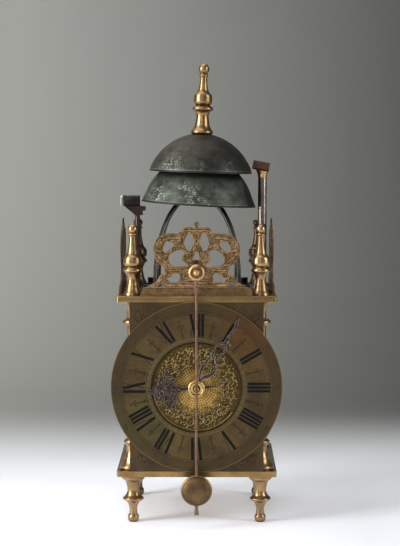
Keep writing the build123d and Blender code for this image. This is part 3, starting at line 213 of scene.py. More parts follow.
def agedMetal(look):
    # tarnish in patches, a fine grain, dirt in the corners, coloured zones (some of them painted shade)
    # and bright edges, partly wear and partly painted highlight
    material, place = newMaterial(look["name"])
    patches = addNode(material, "TexNoise",
                      {"Scale": 1000 / look["patchMm"], "Detail": 5.0, "Roughness": 0.62},
                      {"Vector": place})
    grain = addNode(material, "TexNoise",
                    {"Scale": 1000 / look["grainMm"], "Detail": 4.0, "Roughness": 0.7},
                    {"Vector": place})
    shut = addNode(material, "AmbientOcclusion", {"samples": 8, "Distance": look["cornerMm"] * mm})
    surface = overlay(material, look["metal"], look["tarnish"], (patches, "Fac"),
                      (look["patchFrom"], look["patchTo"]))
    surface = overlay(material, surface, look["fleck"], (grain, "Fac"), (0.45, 0.75),
                      (0, look["grain"]))
    surface = overlay(material, surface, look["dirt"], (shut, "AO"), (0.35, 0.95),
                      (look["corner"], 0))
    for zone in look.get("zones", []):
        surface = zoned(material, place, surface, zone)
    # bright edges: partly wear, partly a painted highlight where the lamps would glint
    if look.get("edge"):
        turn = edgeTurn(material, look["edgeMm"], 6)
        surface = overlay(material, surface, look["edgeWearAndHighlight"], turn, (0.985, 0.8), (0, look["edge"]))
    gloss = addNode(material, "MapRange",
                    {"From Min": 0.3, "From Max": 0.7, "To Min": look["roughness"] - look["spread"],
                     "To Max": look["roughness"] + look["spread"]}, {"Value": (patches, "Fac")})
    bump = addNode(material, "Bump", {"Strength": look["bump"], "Distance": look["bumpMm"] * mm},
                   {"Height": (grain, "Fac")})
    shader = addNode(material, "BsdfPrincipled",
                     {"Metallic": look["metallic"], "Specular IOR Level": look.get("shine", 0.5),
                      "Coat Weight": look.get("lacquer", 0.0),
                      "Coat Roughness": look.get("haze", 0.22)},
                     {"Base Color": surface, "Roughness": (gloss, "Result"),
                      "Normal": (bump, "Normal")})
    addNode(material, "OutputMaterial", {}, {"Surface": (shader, "BSDF")})
    return material


# turned brass under thin old lacquer: cream highlights, brown in the grooves
turned = {
    "name": "turnedBrass", "metal": "AE8E62", "tarnish": "866A46", "fleck": "6A5030",
    "dirt": "2A1C0E", "metallic": 1.0, "roughness": 0.33, "spread": 0.05,
    "patchMm": 26, "patchFrom": 0.35, "patchTo": 0.7, "grainMm": 1.6, "grain": 0.3,
    "cornerMm": 4.0, "corner": 0.8, "bump": 0.08, "bumpMm": 0.1, "lacquer": 0.4}
# painted shade: the posts at the back are darkened brown
turnedBrass = agedMetal({
    **turned, "zones": [{"axis": "Y", "from": 20, "to": 40, "colour": "4A3220", "share": 0.78}]})
# the top finial is the same brass without the painted shade of the back posts
finialBrass = agedMetal({
    **turned, "name": "finialBrass", "metal": "A8885C", "tarnish": "84683E", "fleck": "6A4E2E",
    "roughness": 0.32, "patchMm": 20})
# rolled plate brass left to tarnish: darker, satin, with bright edges that are partly wear and partly a
# painted highlight
plateBrass = agedMetal({
    "name": "plateBrass", "metal": "AA8C5C", "tarnish": "7C623C", "fleck": "5E4628",
    "dirt": "20160A", "metallic": 1.0, "roughness": 0.32, "spread": 0.08,
    "patchMm": 30, "patchFrom": 0.35, "patchTo": 0.7, "grainMm": 1.4, "grain": 0.35,
    "cornerMm": 4.0, "corner": 0.6, "bump": 0.15, "bumpMm": 0.1,
    "edge": 0.9, "edgeMm": 0.7, "edgeWearAndHighlight": "EED49A"})
# dial brass under old lacquer: brown, nearly matt, with warm stains
lacquered = {
    "name": "dialBrass", "metal": "4E3F26", "tarnish": "382D1C", "fleck": "60421E",
    "dirt": "1A120A", "metallic": 0.7, "roughness": 0.44, "spread": 0.08,
    "patchMm": 30, "patchFrom": 0.38, "patchTo": 0.62, "grainMm": 2.4, "grain": 0.35,
    "cornerMm": 1.2, "corner": 0.8, "bump": 0.15, "bumpMm": 0.08}
dialBrass = agedMetal(lacquered)
# turned brass of small parts kept bright by handling: smooth, with sharp lights
bright = {
    "name": "polishedBrass", "metal": "C4A070", "tarnish": "A07C4A", "fleck": "8A6438",
    "dirt": "20140A", "metallic": 1.0, "roughness": 0.3, "spread": 0.03,
    "patchMm": 9, "patchFrom": 0.4, "patchTo": 0.8, "grainMm": 1.0, "grain": 0.1,
    "cornerMm": 2.2, "corner": 0.9, "bump": 0.02, "bumpMm": 0.05}
polishedBrass = agedMetal(bright)
# chapter ring: darker in the minute band, paler by the bore, orange near one o'clock
ringBrass = agedMetal({
    **lacquered, "name": "ringBrass", "metal": "584829", "tarnish": "3E331F", "fleck": "6E4A20",
    "roughness": 0.43, "patchMm": 26, "patchFrom": 0.36, "grainMm": 3.0, "grain": 0.45,
    "zones": [{"middle": (0, 130.45), "from": 67, "to": 72, "colour": "3A2E1C", "share": 0.6},
              {"middle": (0, 130.45), "from": 50, "to": 45, "colour": "70603A", "share": 0.45},
              {"middle": (0, 130.45), "from": 79.2, "to": 79.7, "colour": "8A7448", "share": 0.6},
              {"middle": (46, 176), "from": 34, "to": 6, "colour": "70461E", "share": 0.35},
              {"middle": (-52, 96), "from": 40, "to": 8, "colour": "454A26", "share": 0.35}]})
# the collet: a bright dome in a dark groove
colletBrass = agedMetal({
    **bright, "name": "colletBrass", "metal": "E0C07E", "tarnish": "B8924E",
    "roughness": 0.26, "patchMm": 6, "corner": 0.7,
    "zones": [{"middle": (0, 130.45), "from": 3.8, "to": 3.4, "colour": "2A1C10", "share": 0.9},
              {"middle": (0, 130.45), "from": 2.3, "to": 2.0, "colour": "C8A468", "share": 1.0}]})
# cut wheel brass of the movement, cleaner than the case
movementBrass = agedMetal({
    "name": "movementBrass", "metal": "A8885A", "tarnish": "826642", "fleck": "6C5028",
    "dirt": "2A1C0C", "metallic": 1.0, "roughness": 0.34, "spread": 0.06,
    "patchMm": 16, "patchFrom": 0.35, "patchTo": 0.7, "grainMm": 1.0, "grain": 0.25,
    "cornerMm": 2.0, "corner": 0.6, "bump": 0.1, "bumpMm": 0.06})
# forged iron, black oxide worn to bright steel on the edges
forged = {
    "name": "blackIron", "metal": "4A4745", "tarnish": "242322", "fleck": "5A524C",
    "dirt": "0A0909", "metallic": 0.95, "roughness": 0.27, "spread": 0.08,
    "patchMm": 12, "patchFrom": 0.4, "patchTo": 0.7, "grainMm": 1.3, "grain": 0.35,
    "cornerMm": 2.5, "corner": 0.5, "bump": 0.3, "bumpMm": 0.12,
    "edge": 0.9, "edgeMm": 0.6, "edgeWearAndHighlight": "B9B2AA"}
blackIron = agedMetal(forged)
# the bell straps, forged thinner, with painted grey highlights along both edges
strapIron = agedMetal({
    **forged, "name": "strapIron", "metal": "63605C", "tarnish": "34322F", "dirt": "0E0C0B",
    "roughness": 0.32, "patchMm": 14, "edge": 1.0, "edgeMm": 1.0, "edgeWearAndHighlight": "DAD4CC"})
# the same iron on round stock, with no edges to rub
shankIron = agedMetal({
    **forged, "name": "shankIron", "metal": "4C4340", "tarnish": "2C2422", "fleck": "5E4438",
    "dirt": "0C0A09", "roughness": 0.34, "spread": 0.06, "grain": 0.4, "bump": 0.2,
    "bumpMm": 0.1, "edge": 0})
# the left hammer's head: black, with its striking tail ground bright at the free end
headIron = agedMetal({
    **forged, "name": "headIron", "metal": "3A3735", "tarnish": "1C1B1A", "fleck": "4A423C",
    "roughness": 0.3, "patchMm": 8, "cornerMm": 2.0, "corner": 0.6, "bump": 0.25, "bumpMm": 0.1,
    "zones": [{"axis": "X", "from": -70.0, "to": -71.2, "colour": "DAD6D0", "share": 0.9}],
    "edge": 0.8, "edgeMm": 0.5, "edgeWearAndHighlight": "A8A29A"})
# cut and filed steel of the hour hand: dark faces, and bright edges that are partly wear and partly
# painted highlight
filed = {
    "name": "handSteel", "metal": "4E403C", "tarnish": "2A2222", "fleck": "5E4A44",
    "dirt": "120D0C", "metallic": 0.95, "roughness": 0.33, "spread": 0.08,
    "patchMm": 7, "patchFrom": 0.38, "patchTo": 0.66, "grainMm": 0.9, "grain": 0.4,
    "cornerMm": 1.0, "corner": 0.3, "bump": 0.2, "bumpMm": 0.06,
    "edge": 1.0, "edgeMm": 0.35, "edgeWearAndHighlight": "E6D6CE"}
handSteel = agedMetal(filed)
# the minute hand's edges are brighter still, partly wear and partly painted highlight
minuteSteel = agedMetal({
    **filed, "name": "minuteSteel", "metal": "4A403C", "tarnish": "2E2624", "fleck": "5A4A44",
    "dirt": "181210", "roughness": 0.3, "spread": 0.06, "patchMm": 6,
    "edgeMm": 0.5, "edgeWearAndHighlight": "FFF4EA"})
# drawn steel of shanks and arbors: smooth, grey and bright
greySteel = agedMetal({
    "name": "greySteel", "metal": "948A82", "tarnish": "5A4E46", "fleck": "6A5446",
    "dirt": "14100D", "metallic": 1.0, "roughness": 0.3, "spread": 0.06,
    "patchMm": 10, "patchFrom": 0.4, "patchTo": 0.7, "grainMm": 1.2, "grain": 0.15,
    "cornerMm": 2.0, "corner": 0.5, "bump": 0.04, "bumpMm": 0.05})
# iron under dry brown rust: nearly matt, with rubbed corners
rustyIron = agedMetal({
    "name": "rustyIron", "metal": "55392B", "tarnish": "38241B", "fleck": "6E4832",
    "dirt": "1E120C", "metallic": 0.5, "roughness": 0.55, "spread": 0.1,
    "patchMm": 6, "patchFrom": 0.38, "patchTo": 0.66, "grainMm": 0.9, "grain": 0.5,
    "cornerMm": 2.0, "corner": 0.4, "bump": 0.4, "bumpMm": 0.15,
    "edge": 0.5, "edgeMm": 0.7, "edgeWearAndHighlight": "A88C7A"})
# drawn iron of the thin rod, with a reddish skin
rodIron = agedMetal({
    "name": "rodIron", "metal": "7E5E50", "tarnish": "58392E", "fleck": "96786A",
    "dirt": "2A1812", "metallic": 0.7, "roughness": 0.4, "spread": 0.08,
    "patchMm": 14, "patchFrom": 0.38, "patchTo": 0.66, "grainMm": 0.8, "grain": 0.3,
    "cornerMm": 1.0, "corner": 0.3, "bump": 0.15, "bumpMm": 0.06})
# spun brass of the bob, long unpolished: brown, with a dark line inside a pale rim
bobBrass = agedMetal({
    "name": "bobBrass", "metal": "70593A", "tarnish": "4E3D2A", "fleck": "7E6240",
    "dirt": "1A110A", "metallic": 0.85, "roughness": 0.42, "spread": 0.06,
    "patchMm": 12, "patchFrom": 0.38, "patchTo": 0.66, "grainMm": 1.0, "grain": 0.35,
    "cornerMm": 1.5, "corner": 0.4, "bump": 0.2, "bumpMm": 0.08,
    "zones": [{"middle": (0, 36.4), "from": 12.1, "to": 12.5, "colour": "1C140C", "share": 0.7},
              {"middle": (0, 36.4), "from": 12.9, "to": 13.3, "colour": "7A6040", "share": 1.0}]})


def castBronze(look):
    # a dark skin with turning marks round the bell and patches of pale open pits
    material, place = newMaterial(look["name"])
    skin = addNode(material, "TexNoise",
                   {"Scale": 1000 / look["skinMm"], "Detail": 6.0, "Roughness": 0.65},
                   {"Vector": place})
    # the turning marks are a noise drawn out round the bell
    squeezed = addNode(material, "Mapping", {"Scale": (0.04, 0.04, 1.0)}, {"Vector": place})
    rings = addNode(material, "TexNoise", {"Scale": 1000 / look["ringMm"], "Detail": 3.0},
                    {"Vector": (squeezed, "Vector")})
    surface = overlay(material, look["skin"], look["thinSkin"], (skin, "Fac"), (0.36, 0.66))
    surface = overlay(material, surface, look["markAndShade"], (rings, "Fac"), (0.45, 0.65), (0, 0.35))
    patches = addNode(material, "TexNoise",
                      {"Scale": 1000 / look["patchMm"], "Detail": 3.0, "Roughness": 0.6},
                      {"Vector": place})
    patchShare = addNode(material, "MapRange",
                         {"From Min": look["patchFrom"], "From Max": look["patchTo"]},
                         {"Value": (patches, "Fac")})
    pits = addNode(material, "TexVoronoi", {"Scale": 1000 / look["pitMm"]}, {"Vector": place})
    pitShare = addNode(material, "MapRange",
                       {"From Min": 0.5, "From Max": 0.2, "To Min": 0.0, "To Max": look["pit"]},
                       {"Value": (pits, "Distance")})
    # the pits keep to a few places, each a point on the bell and a reach
    near = None
    for x, y, z, reach in look["spots"]:
        away = addNode(material, "VectorMath", {"operation": "DISTANCE", 1: (x * mm, y * mm, z * mm)},
                       {0: place})
        spot = addNode(material, "MapRange",
                       {"From Min": reach * mm, "From Max": reach * mm * look["fullTo"]},
                       {"Value": (away, "Value")})
        if near:
            both = addNode(material, "Math", {"operation": "MAXIMUM"}, {0: near, 1: (spot, "Result")})
            near = (both, "Value")
        else:
            near = (spot, "Result")
    placed = addNode(material, "Math", {"operation": "MULTIPLY"}, {0: (patchShare, "Result"), 1: near})
    pitted = addNode(material, "Math", {"operation": "MULTIPLY"},
                     {0: (placed, "Value"), 1: (pitShare, "Result")})
    bare = addNode(material, "Mix", {"data_type": "RGBA", 7: linear(look["pale"])},
                   {0: (pitted, "Value"), 6: surface})
    surface = (bare, 2)
    # bands along the axis, in mm from the lip: a painted highlight line along the lip, a painted shadow
    # line at its very edge, and towards the top a brown tint on the upper bell and the painted shadow
    # of the upper bell on the lower one
    aside, height = look["axis"]
    along = addNode(material, "VectorMath", {"operation": "DOT_PRODUCT", 1: (aside, 0, height)},
                    {0: place})
    for band in look["bands"]:
        limits = [look["lip"] + band[end] * mm for end in ("from", "to")]
        surface = overlay(material, surface, look[band["tint"]], (along, "Value"), limits,
                          (0, band["share"]))
    # painted shade: the bell is darkened where its surface faces right
    facing = addNode(material, "NewGeometry")
    sideways = addNode(material, "SeparateXYZ", {}, {0: (facing, "Normal")})
    surface = overlay(material, surface, look["markAndShade"], (sideways, "X"),
                      (look["rightShadeFrom"], look["rightShadeTo"]), (0, look["away"]))
    dull = addNode(material, "MapRange",
                   {"To Min": look["roughness"], "To Max": look["roughness"] + look["pitDull"]},
                   {"Value": (pitted, "Value")})
    bump = addNode(material, "Bump", {"Strength": 0.35, "Distance": 0.25 * mm},
                   {"Height": (pitted, "Value")})
    shader = addNode(material, "BsdfPrincipled", {"Metallic": look["metallic"]},
                     {"Base Color": surface, "Roughness": (dull, "Result"), "Normal": (bump, "Normal")})
    addNode(material, "OutputMaterial", {}, {"Surface": (shader, "BSDF")})
    return material


def lipOf(name, lean):
    # the direction of a leaning bell's axis, and how far along it the lip lies
    a = math.radians(lean)
    axis = (math.sin(a), math.cos(a))
    lip = min(v.co.x * axis[0] + v.co.z * axis[1] for v in nodes[name].data.vertices)
    return {"axis": axis, "lip": lip}


# cast bell metal under an old skin: brown black above with few pits, grey green below with many
upperBellBronze = castBronze({
    "name": "upperBellBronze", "skin": "2A2823", "thinSkin": "505145", "markAndShade": "1A1815",
    "pale": "B4B4A6", "skinMm": 8, "ringMm": 3, "patchMm": 7, "patchFrom": 0.42, "patchTo": 0.56,
    "pitMm": 1.5, "pit": 0.9, "fullTo": 0.4, "pitDull": 0.3, "roughness": 0.5, "metallic": 0.6,
    "spots": [(-27, -28, 337, 16), (6, -40, 333, 12), (-36, -20, 348, 7), (32, -28, 333, 12)],
    "brown": "40291C",
    "bands": [{"from": 18, "to": 38, "share": 0.55, "tint": "brown"},
              # a painted highlight line along the lip, and a painted shadow line at its edge
              {"from": 2.8, "to": 2.3, "share": 0.22, "tint": "pale"},
              {"from": 2.0, "to": 1.5, "share": 0.95, "tint": "markAndShade"}],
    # the side of the bell facing right is darkened: painted shade
    "rightShadeFrom": -0.55, "rightShadeTo": 0.1, "away": 0.6, **lipOf("upper_bell", 1.9)})
lowerBellBronze = castBronze({
    "name": "lowerBellBronze", "skin": "2B2F2A", "thinSkin": "51594D", "markAndShade": "141714",
    "pale": "B2B6A8", "skinMm": 8, "ringMm": 4, "patchMm": 8, "patchFrom": 0.42, "patchTo": 0.54,
    "pitMm": 1.7, "pit": 0.95, "fullTo": 0.4, "pitDull": 0.3, "roughness": 0.5, "metallic": 0.45,
    "spots": [(-40, -22, 310, 19), (-10, -42, 316, 14), (0, -44, 307, 14), (9, -46, 301, 9)],
    # the painted shadow of the upper bell over the top of this bell, then the painted highlight and
    # shadow lines at the lip
    "bands": [{"from": 24, "to": 31, "share": 0.85, "tint": "markAndShade"},
              {"from": 2.8, "to": 2.3, "share": 0.15, "tint": "pale"},
              {"from": 2.0, "to": 1.5, "share": 0.95, "tint": "markAndShade"}],
    # the side of the bell facing right is darkened: painted shade
    "rightShadeFrom": 0.79, "rightShadeTo": 0.83, "away": 0.95, **lipOf("lower_bell", 3.2)})


def punchedRows(material, place, dark, rays):
    # rings of punched dashes round a middle, out to a reach in mm, and the flowing cuts beyond it
    moved = fromMiddle(material, place, rays["middle"])
    split = addNode(material, "SeparateXYZ", {}, {0: moved})
    angle = addNode(material, "Math", {"operation": "ARCTAN2"}, {0: (split, "Z"), 1: (split, "X")})
    turns = addNode(material, "Math", {"operation": "MULTIPLY", 1: rays["count"] / (2 * math.pi)},
                    {0: (angle, "Value")})
    spokes = addNode(material, "Math", {"operation": "PINGPONG", 1: 0.5}, {0: (turns, "Value")})
    far = addNode(material, "VectorMath", {"operation": "LENGTH"}, {0: moved})
    steps = addNode(material, "Math", {"operation": "MULTIPLY", 1: 1000 / rays["rowMm"]},
                    {0: (far, "Value")})
    rings = addNode(material, "Math", {"operation": "PINGPONG", 1: 0.5}, {0: (steps, "Value")})
    nearest = addNode(material, "Math", {"operation": "MINIMUM"},
                      {0: (spokes, "Value"), 1: (rings, "Value")})
    lines = addNode(material, "MapRange",
                    {"From Min": 0.06, "From Max": 0.24, "To Min": rays["depth"], "To Max": 0.0},
                    {"Value": (nearest, "Value")})
    inside = addNode(material, "MapRange",
                     {"From Min": (rays["reach"] + rays["fade"]) * mm,
                      "From Max": (rays["reach"] - rays["fade"]) * mm}, {"Value": (far, "Value")})
    rows = addNode(material, "Mix", {"data_type": "FLOAT"},
                   {0: (inside, "Result"), 2: dark, 3: (lines, "Result")})
    return (rows, 0)


def engraved(look):
    # sheet brass covered with flowing cuts: they follow the level lines of a slow noise
    material, place = newMaterial(look["name"])
    flow = addNode(material, "TexNoise",
                   {"Scale": 1000 / look["flowMm"], "Detail": 1.0, "Distortion": look["twist"]},
                   {"Vector": place})
    levels = addNode(material, "Math", {"operation": "MULTIPLY", 1: look["levels"]}, {0: (flow, "Fac")})
    between = addNode(material, "Math", {"operation": "PINGPONG", 1: 0.5}, {0: (levels, "Value")})
    cuts = addNode(material, "MapRange",
                   {"From Min": 0.06, "From Max": 0.22, "To Min": look["cut"], "To Max": 0.0},
                   {"Value": (between, "Value")})
    punch = addNode(material, "TexVoronoi", {"Scale": 1000 / look["punchMm"]}, {"Vector": place})
    dots = addNode(material, "MapRange",
                   {"From Min": 0.12, "From Max": 0.5, "To Min": look["punch"], "To Max": 0.0},
                   {"Value": (punch, "Distance")})
    patches = addNode(material, "TexNoise", {"Scale": 1000 / look["patchMm"], "Detail": 5.0},
                      {"Vector": place})
    ground = overlay(material, look["metal"], look["tarnish"], (patches, "Fac"), (0.4, 0.62))
    if "rim" in look:
        ground = zoned(material, place, ground, look["rim"])
    deepest = addNode(material, "Math", {"operation": "MAXIMUM"},
                      {0: (cuts, "Result"), 1: (dots, "Result")})
    dark = (deepest, "Value")
    if "rays" in look:
        dark = punchedRows(material, place, dark, look["rays"])
    # a cut follows every edge a little way in, and the edge itself is rubbed bright
    turn = edgeTurn(material, look["edgeMm"], 8)
    border = addNode(material, "MapRange",
                     {"From Min": 0.995, "From Max": 0.96, "To Min": 0.0, "To Max": look["border"]},
                     {"Value": turn})
    allCuts = addNode(material, "Math", {"operation": "MAXIMUM"}, {0: dark, 1: (border, "Result")})
    filled = addNode(material, "Mix", {"data_type": "RGBA", 7: linear(look["dirt"])},
                     {0: (allCuts, "Value"), 6: ground})
    surface = overlay(material, (filled, 2), look["edgeWearAndHighlight"], turn, (0.9, 0.8), (0, look["edge"]))
    depth = addNode(material, "Math", {"operation": "MULTIPLY", 1: -1.0}, {0: dark})
    bump = addNode(material, "Bump", {"Strength": 0.7, "Distance": 0.25 * mm},
                   {"Height": (depth, "Value")})
    shader = addNode(material, "BsdfPrincipled",
                     {"Metallic": look["metallic"], "Roughness": look["roughness"]},
                     {"Base Color": surface, "Normal": (bump, "Normal")})
    addNode(material, "OutputMaterial", {}, {"Surface": (shader, "BSDF")})
    return material


# sheet brass of the frets, olive brown with paler lights, cut all over; the side ones are darker
fretBrass = engraved({
    "name": "fretBrass", "metal": "BC9672", "tarnish": "7C643C", "dirt": "2A1E10",
    "edgeWearAndHighlight": "E4C49A", "flowMm": 6.0, "twist": 0.8, "levels": 8.0, "cut": 0.45, "punchMm": 0.8,
    "punch": 0.3, "patchMm": 4.5, "border": 0.8, "edge": 0.8, "edgeMm": 1.1,
    "roughness": 0.36, "metallic": 0.9,
    "rim": {"axis": "Z", "from": 225.0, "to": 224.2, "colour": "6C5434", "share": 0.75}})
sideFretBrass = engraved({
    "name": "sideFretBrass", "metal": "7A5C40", "tarnish": "4A3622", "dirt": "1A110A",
    "edgeWearAndHighlight": "A88A64", "flowMm": 6.0, "twist": 0.8, "levels": 8.0, "cut": 0.6, "punchMm": 0.8,
    "punch": 0.3, "patchMm": 6.0, "border": 0.5, "edge": 0.5, "edgeMm": 0.8,
    "roughness": 0.4, "metallic": 0.9})
# the engraved dial centre: gold and punched round the hands, dark olive under the foliage
centreBrass = engraved({
    "name": "centreBrass", "metal": "DCB464", "tarnish": "B08A48", "dirt": "38240E",
    "edgeWearAndHighlight": "E8CC88", "flowMm": 4.0, "twist": 1.4, "levels": 8.0, "cut": 0.6, "punchMm": 1.0,
    "punch": 0.5, "patchMm": 6.0, "border": 0.0, "edge": 0.3, "edgeMm": 0.4,
    "roughness": 0.36, "metallic": 0.9,
    "rim": {"middle": (1, 127), "from": 15, "to": 25, "colour": "2E2512", "share": 0.92},
    "rays": {"middle": (0, 130.45), "count": 44, "rowMm": 2.2, "reach": 19.5, "fade": 2,
             "depth": 0.85}})
print("finishes made")

dress(["feet", "pillars", "corner_finials"], turnedBrass)
dress(["top_finial", "bell_spacer"], finialBrass)
dress(["dial_centre"], centreBrass)
dress(["left_door", "right_door", "back_plate", "left_door_knob", "right_door_knob"], plateBrass)
dress(["dial_plate", "dial_pins"], dialBrass)
dress(["chapter_ring"], ringBrass)
dress(["pendulum_boss", "right_hammer_collar"], polishedBrass)
dress(["hand_collet"], colletBrass)
dress(["bell_stem", "bell_frame_nuts"], blackIron)
dress(["lower_bell"], lowerBellBronze)
dress(["upper_bell"], upperBellBronze)
dress(["pendulum_bob", "rating_nut"], bobBrass)
dress(["pendulum_rod"], rodIron)
dress(["right_hammer_shank", "centre_arbor", "verge", "minute_wheel_stud", "strike_fly",
       "left_hammer_arbor", "right_hammer_arbor", "fret_screws"], greySteel)
dress(["going_great_wheel", "centre_wheel", "third_wheel", "contrate_wheel", "crown_wheel",
       "cannon_wheel", "minute_wheel", "hour_wheel", "strike_pin_wheel", "strike_hoop_wheel",
       "strike_warning_wheel", "count_wheel", "movement_bars", "escapement_cocks", "hammer_cocks"],
      movementBrass)

softEdged("bottom_plate", plateBrass, width=0.5)
softEdged("top_plate", plateBrass, width=0.4)
softEdged("front_fret", fretBrass, width=0.25)
for side in ("left", "right"):
    softEdged(side + "_fret", sideFretBrass, width=0.25)
softEdged("hour_hand", handSteel, width=0.45)
softEdged("minute_hand", minuteSteel, width=0.5)
for side in ("left", "right"):
    softEdged("bell_strap_%s_front" % side, strapIron, width=0.7, segments=3)
softEdged("left_hammer_head", headIron, width=0.4)
dress(["left_hammer_shank"], shankIron)
softEdged("right_hammer_head", rustyIron, width=0.5)
print("worn edges made")


# black shellac wax in the cut numerals, dull; old brown dirt in the fine engraving, the same colour
# also giving the painted shadow strokes of the dial centre
waxed = {
    "name": "blackWax", "metal": "0B0A09", "tarnish": "14110F", "fleck": "241E19",
    "dirt": "050404", "metallic": 0.0, "shine": 0.12, "roughness": 0.6, "spread": 0.1,
    "patchMm": 5, "patchFrom": 0.4, "patchTo": 0.7, "grainMm": 0.8, "grain": 0.25,
    "cornerMm": 0.5, "corner": 0.1, "bump": 0.2, "bumpMm": 0.05}
blackWax = agedMetal(waxed)
cutDirtAndShadow = agedMetal({
    **waxed, "name": "cutDirtAndShadow", "metal": "241A0F", "tarnish": "17100A", "fleck": "38291A",
    "dirt": "0E0A06", "metallic": 0.3, "shine": 0.2, "roughness": 0.55, "grain": 0.3, "bump": 0.1})
# shallow cuts worn nearly level with the ring: a little browner than the brass round them
wornCuts = agedMetal({
    **waxed, "name": "wornCuts", "metal": "36281A", "tarnish": "2C2014", "fleck": "483622",
    "dirt": "1A120A", "metallic": 0.6, "shine": 0.3, "roughness": 0.5, "patchMm": 9,
    "patchTo": 0.6, "grainMm": 1.4, "grain": 0.5, "bump": 0.1})
# leaves of the dial centre, left standing in gold
leafGold = agedMetal({
    "name": "leafGold", "metal": "9A8248", "tarnish": "5A4C28", "fleck": "DCC288",
    "dirt": "2A200E", "metallic": 0.95, "roughness": 0.32, "spread": 0.08,
    "patchMm": 6, "patchFrom": 0.36, "patchTo": 0.62, "grainMm": 1.6, "grain": 0.8,
    "cornerMm": 0.5, "corner": 0.2, "bump": 0.2, "bumpMm": 0.08})
# painted highlights: bright brass strokes laid where the light would catch
paintedHighlightBrass = agedMetal({
    "name": "paintedHighlightBrass", "metal": "D8B878", "tarnish": "A88850", "fleck": "8A6C3C",
    "dirt": "4A3418", "metallic": 1.0, "roughness": 0.3, "spread": 0.06,
    "patchMm": 4, "patchFrom": 0.35, "patchTo": 0.65, "grainMm": 0.8, "grain": 0.4,
    "cornerMm": 0.5, "corner": 0.1, "bump": 0.1, "bumpMm": 0.05})

dial = {"centre": 0.13045, "plateFront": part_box("dial_plate")[0].y,
        "centreFront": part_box("dial_centre")[0].y}
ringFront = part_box("chapter_ring")[0].y
# radii and widths in mm; slanted strokes run past the band by the overrun and are trimmed to it
numerals = {"inner": 47.6, "outer": 68.6, "stroke": 2.55, "hairline": 0.42, "wax": 0.12,
            "pitch": 3.4, "wide": 7.8, "gap": 1.5, "overrun": 3.0, "hairShift": 0.6,
            "hours": ["XII", "I", "II", "III", "IIII", "V", "VI", "VII", "VIII", "IX", "X", "XI"]}


def strokeBar(bm, x0, x1, low, high, width):
    # one straight cut from (x0, low) to (x1, high), drawn in mm over the twelve o'clock line
    way = Vector((x1 - x0, 0, high - low))
    turn = Matrix.Rotation(math.atan2(way.x, way.z), 4, "Y")
    size = Matrix.Diagonal((width * mm, numerals["wax"] * mm, way.length * mm, 1))
    place = Matrix.Translation(Vector(((x0 + x1) / 2, 0, (low + high) / 2)) * mm)
    bmesh.ops.create_cube(bm, size=1.0, matrix=place @ turn @ size)


def numeralLetters(text):
    low, high, over = numerals["inner"], numerals["outer"], numerals["overrun"]
    thick, thin, shift = numerals["stroke"], numerals["hairline"], numerals["hairShift"]
    reach = numerals["wide"] / 2 - numerals["gap"]
    widths = [numerals["pitch"] if letter == "I" else numerals["wide"] for letter in text]
    left = -sum(widths) / 2
    bm = bmesh.new()
    for letter, width in zip(text, widths):
        middle = left + width / 2
        left += width
        if letter == "I":
            strokeBar(bm, middle, middle, low, high, thick)
        elif letter == "V":
            lean = reach * over / (high - low)
            strokeBar(bm, middle + lean, middle - reach - lean, low - over, high + over, thick)
            strokeBar(bm, middle - lean + shift, middle + reach + lean + shift, low - over,
                      high + over, thin)
        else:
            lean = 2 * reach * over / (high - low)
            strokeBar(bm, middle + reach + lean, middle - reach - lean, low - over, high + over, thick)
            strokeBar(bm, middle - reach - lean, middle + reach + lean, low - over, high + over, thin)
    for height, side in ((low, -1), (high, 1)):
        bmesh.ops.bisect_plane(bm, geom=bm.verts[:] + bm.edges[:] + bm.faces[:], dist=1e-7,
                               plane_co=(0, 0, height * mm), plane_no=(0, 0, side),
                               clear_outer=True)
    bmesh.ops.holes_fill(bm, edges=bm.edges[:], sides=8)
    return bm


def onDial(angle):
    # from drawn over twelve o'clock to its place on the ring, clockwise in degrees
    return (Matrix.Translation((0, ringFront, dial["centre"]))
            @ Matrix.Rotation(math.radians(angle), 4, "Y"))


allNumerals = bmesh.new()
for hour, text in enumerate(numerals["hours"]):
    letters = numeralLetters(text)
    letters.transform(onDial(30 * hour))
    scratch = bpy.data.meshes.new("scratch")
    letters.to_mesh(scratch)
    letters.free()
    allNumerals.from_mesh(scratch)
    bpy.data.meshes.remove(scratch)
bmesh.ops.recalc_face_normals(allNumerals, faces=allNumerals.faces)
newPiece("hourNumerals", allNumerals, "clock_frame", blackWax)
print("numerals cut")


def engrave(name, lines, width, material, proud=0.05, bend=True):
    # each line is a list of points in metres, with a swell if it has one, and becomes a flat cut
    # on the brass; width and proud are in mm
    curve = bpy.data.curves.new(name, "CURVE")
    curve.dimensions = "3D"
    curve.bevel_depth = width * mm / 2
    curve.bevel_resolution = 0
    curve.use_fill_caps = True
    curve.resolution_u = 5
    for line in lines:
        spline = curve.splines.new("NURBS" if bend and len(line) > 2 else "POLY")
        spline.points.add(len(line) - 1)
        for point, place in zip(spline.points, line):
            point.co = (place[0], 0, place[2], 1)
            point.radius = place[3] if len(place) > 3 else 1.0
        if spline.type == "NURBS":
            spline.order_u = 3
            spline.use_endpoint_u = True
    mesh = meshOf(name + "Curve", curve)
    bm = bmesh.new()
    bm.from_mesh(mesh)
    bpy.data.meshes.remove(mesh)
    flat = proud / (width / 2)
    front = lines[0][0][1]
    bmesh.ops.scale(bm, vec=(1, flat, 1), verts=bm.verts)
    bmesh.ops.translate(bm, vec=(0, front, 0), verts=bm.verts)
    newPiece(name, bm, "clock_frame", material)


def polar(radius, angle, front=ringFront):
    # a point on the dial by its radius in mm and its angle from twelve o'clock
    a = math.radians(angle)
    return (radius * mm * math.sin(a), front, dial["centre"] + radius * mm * math.cos(a))


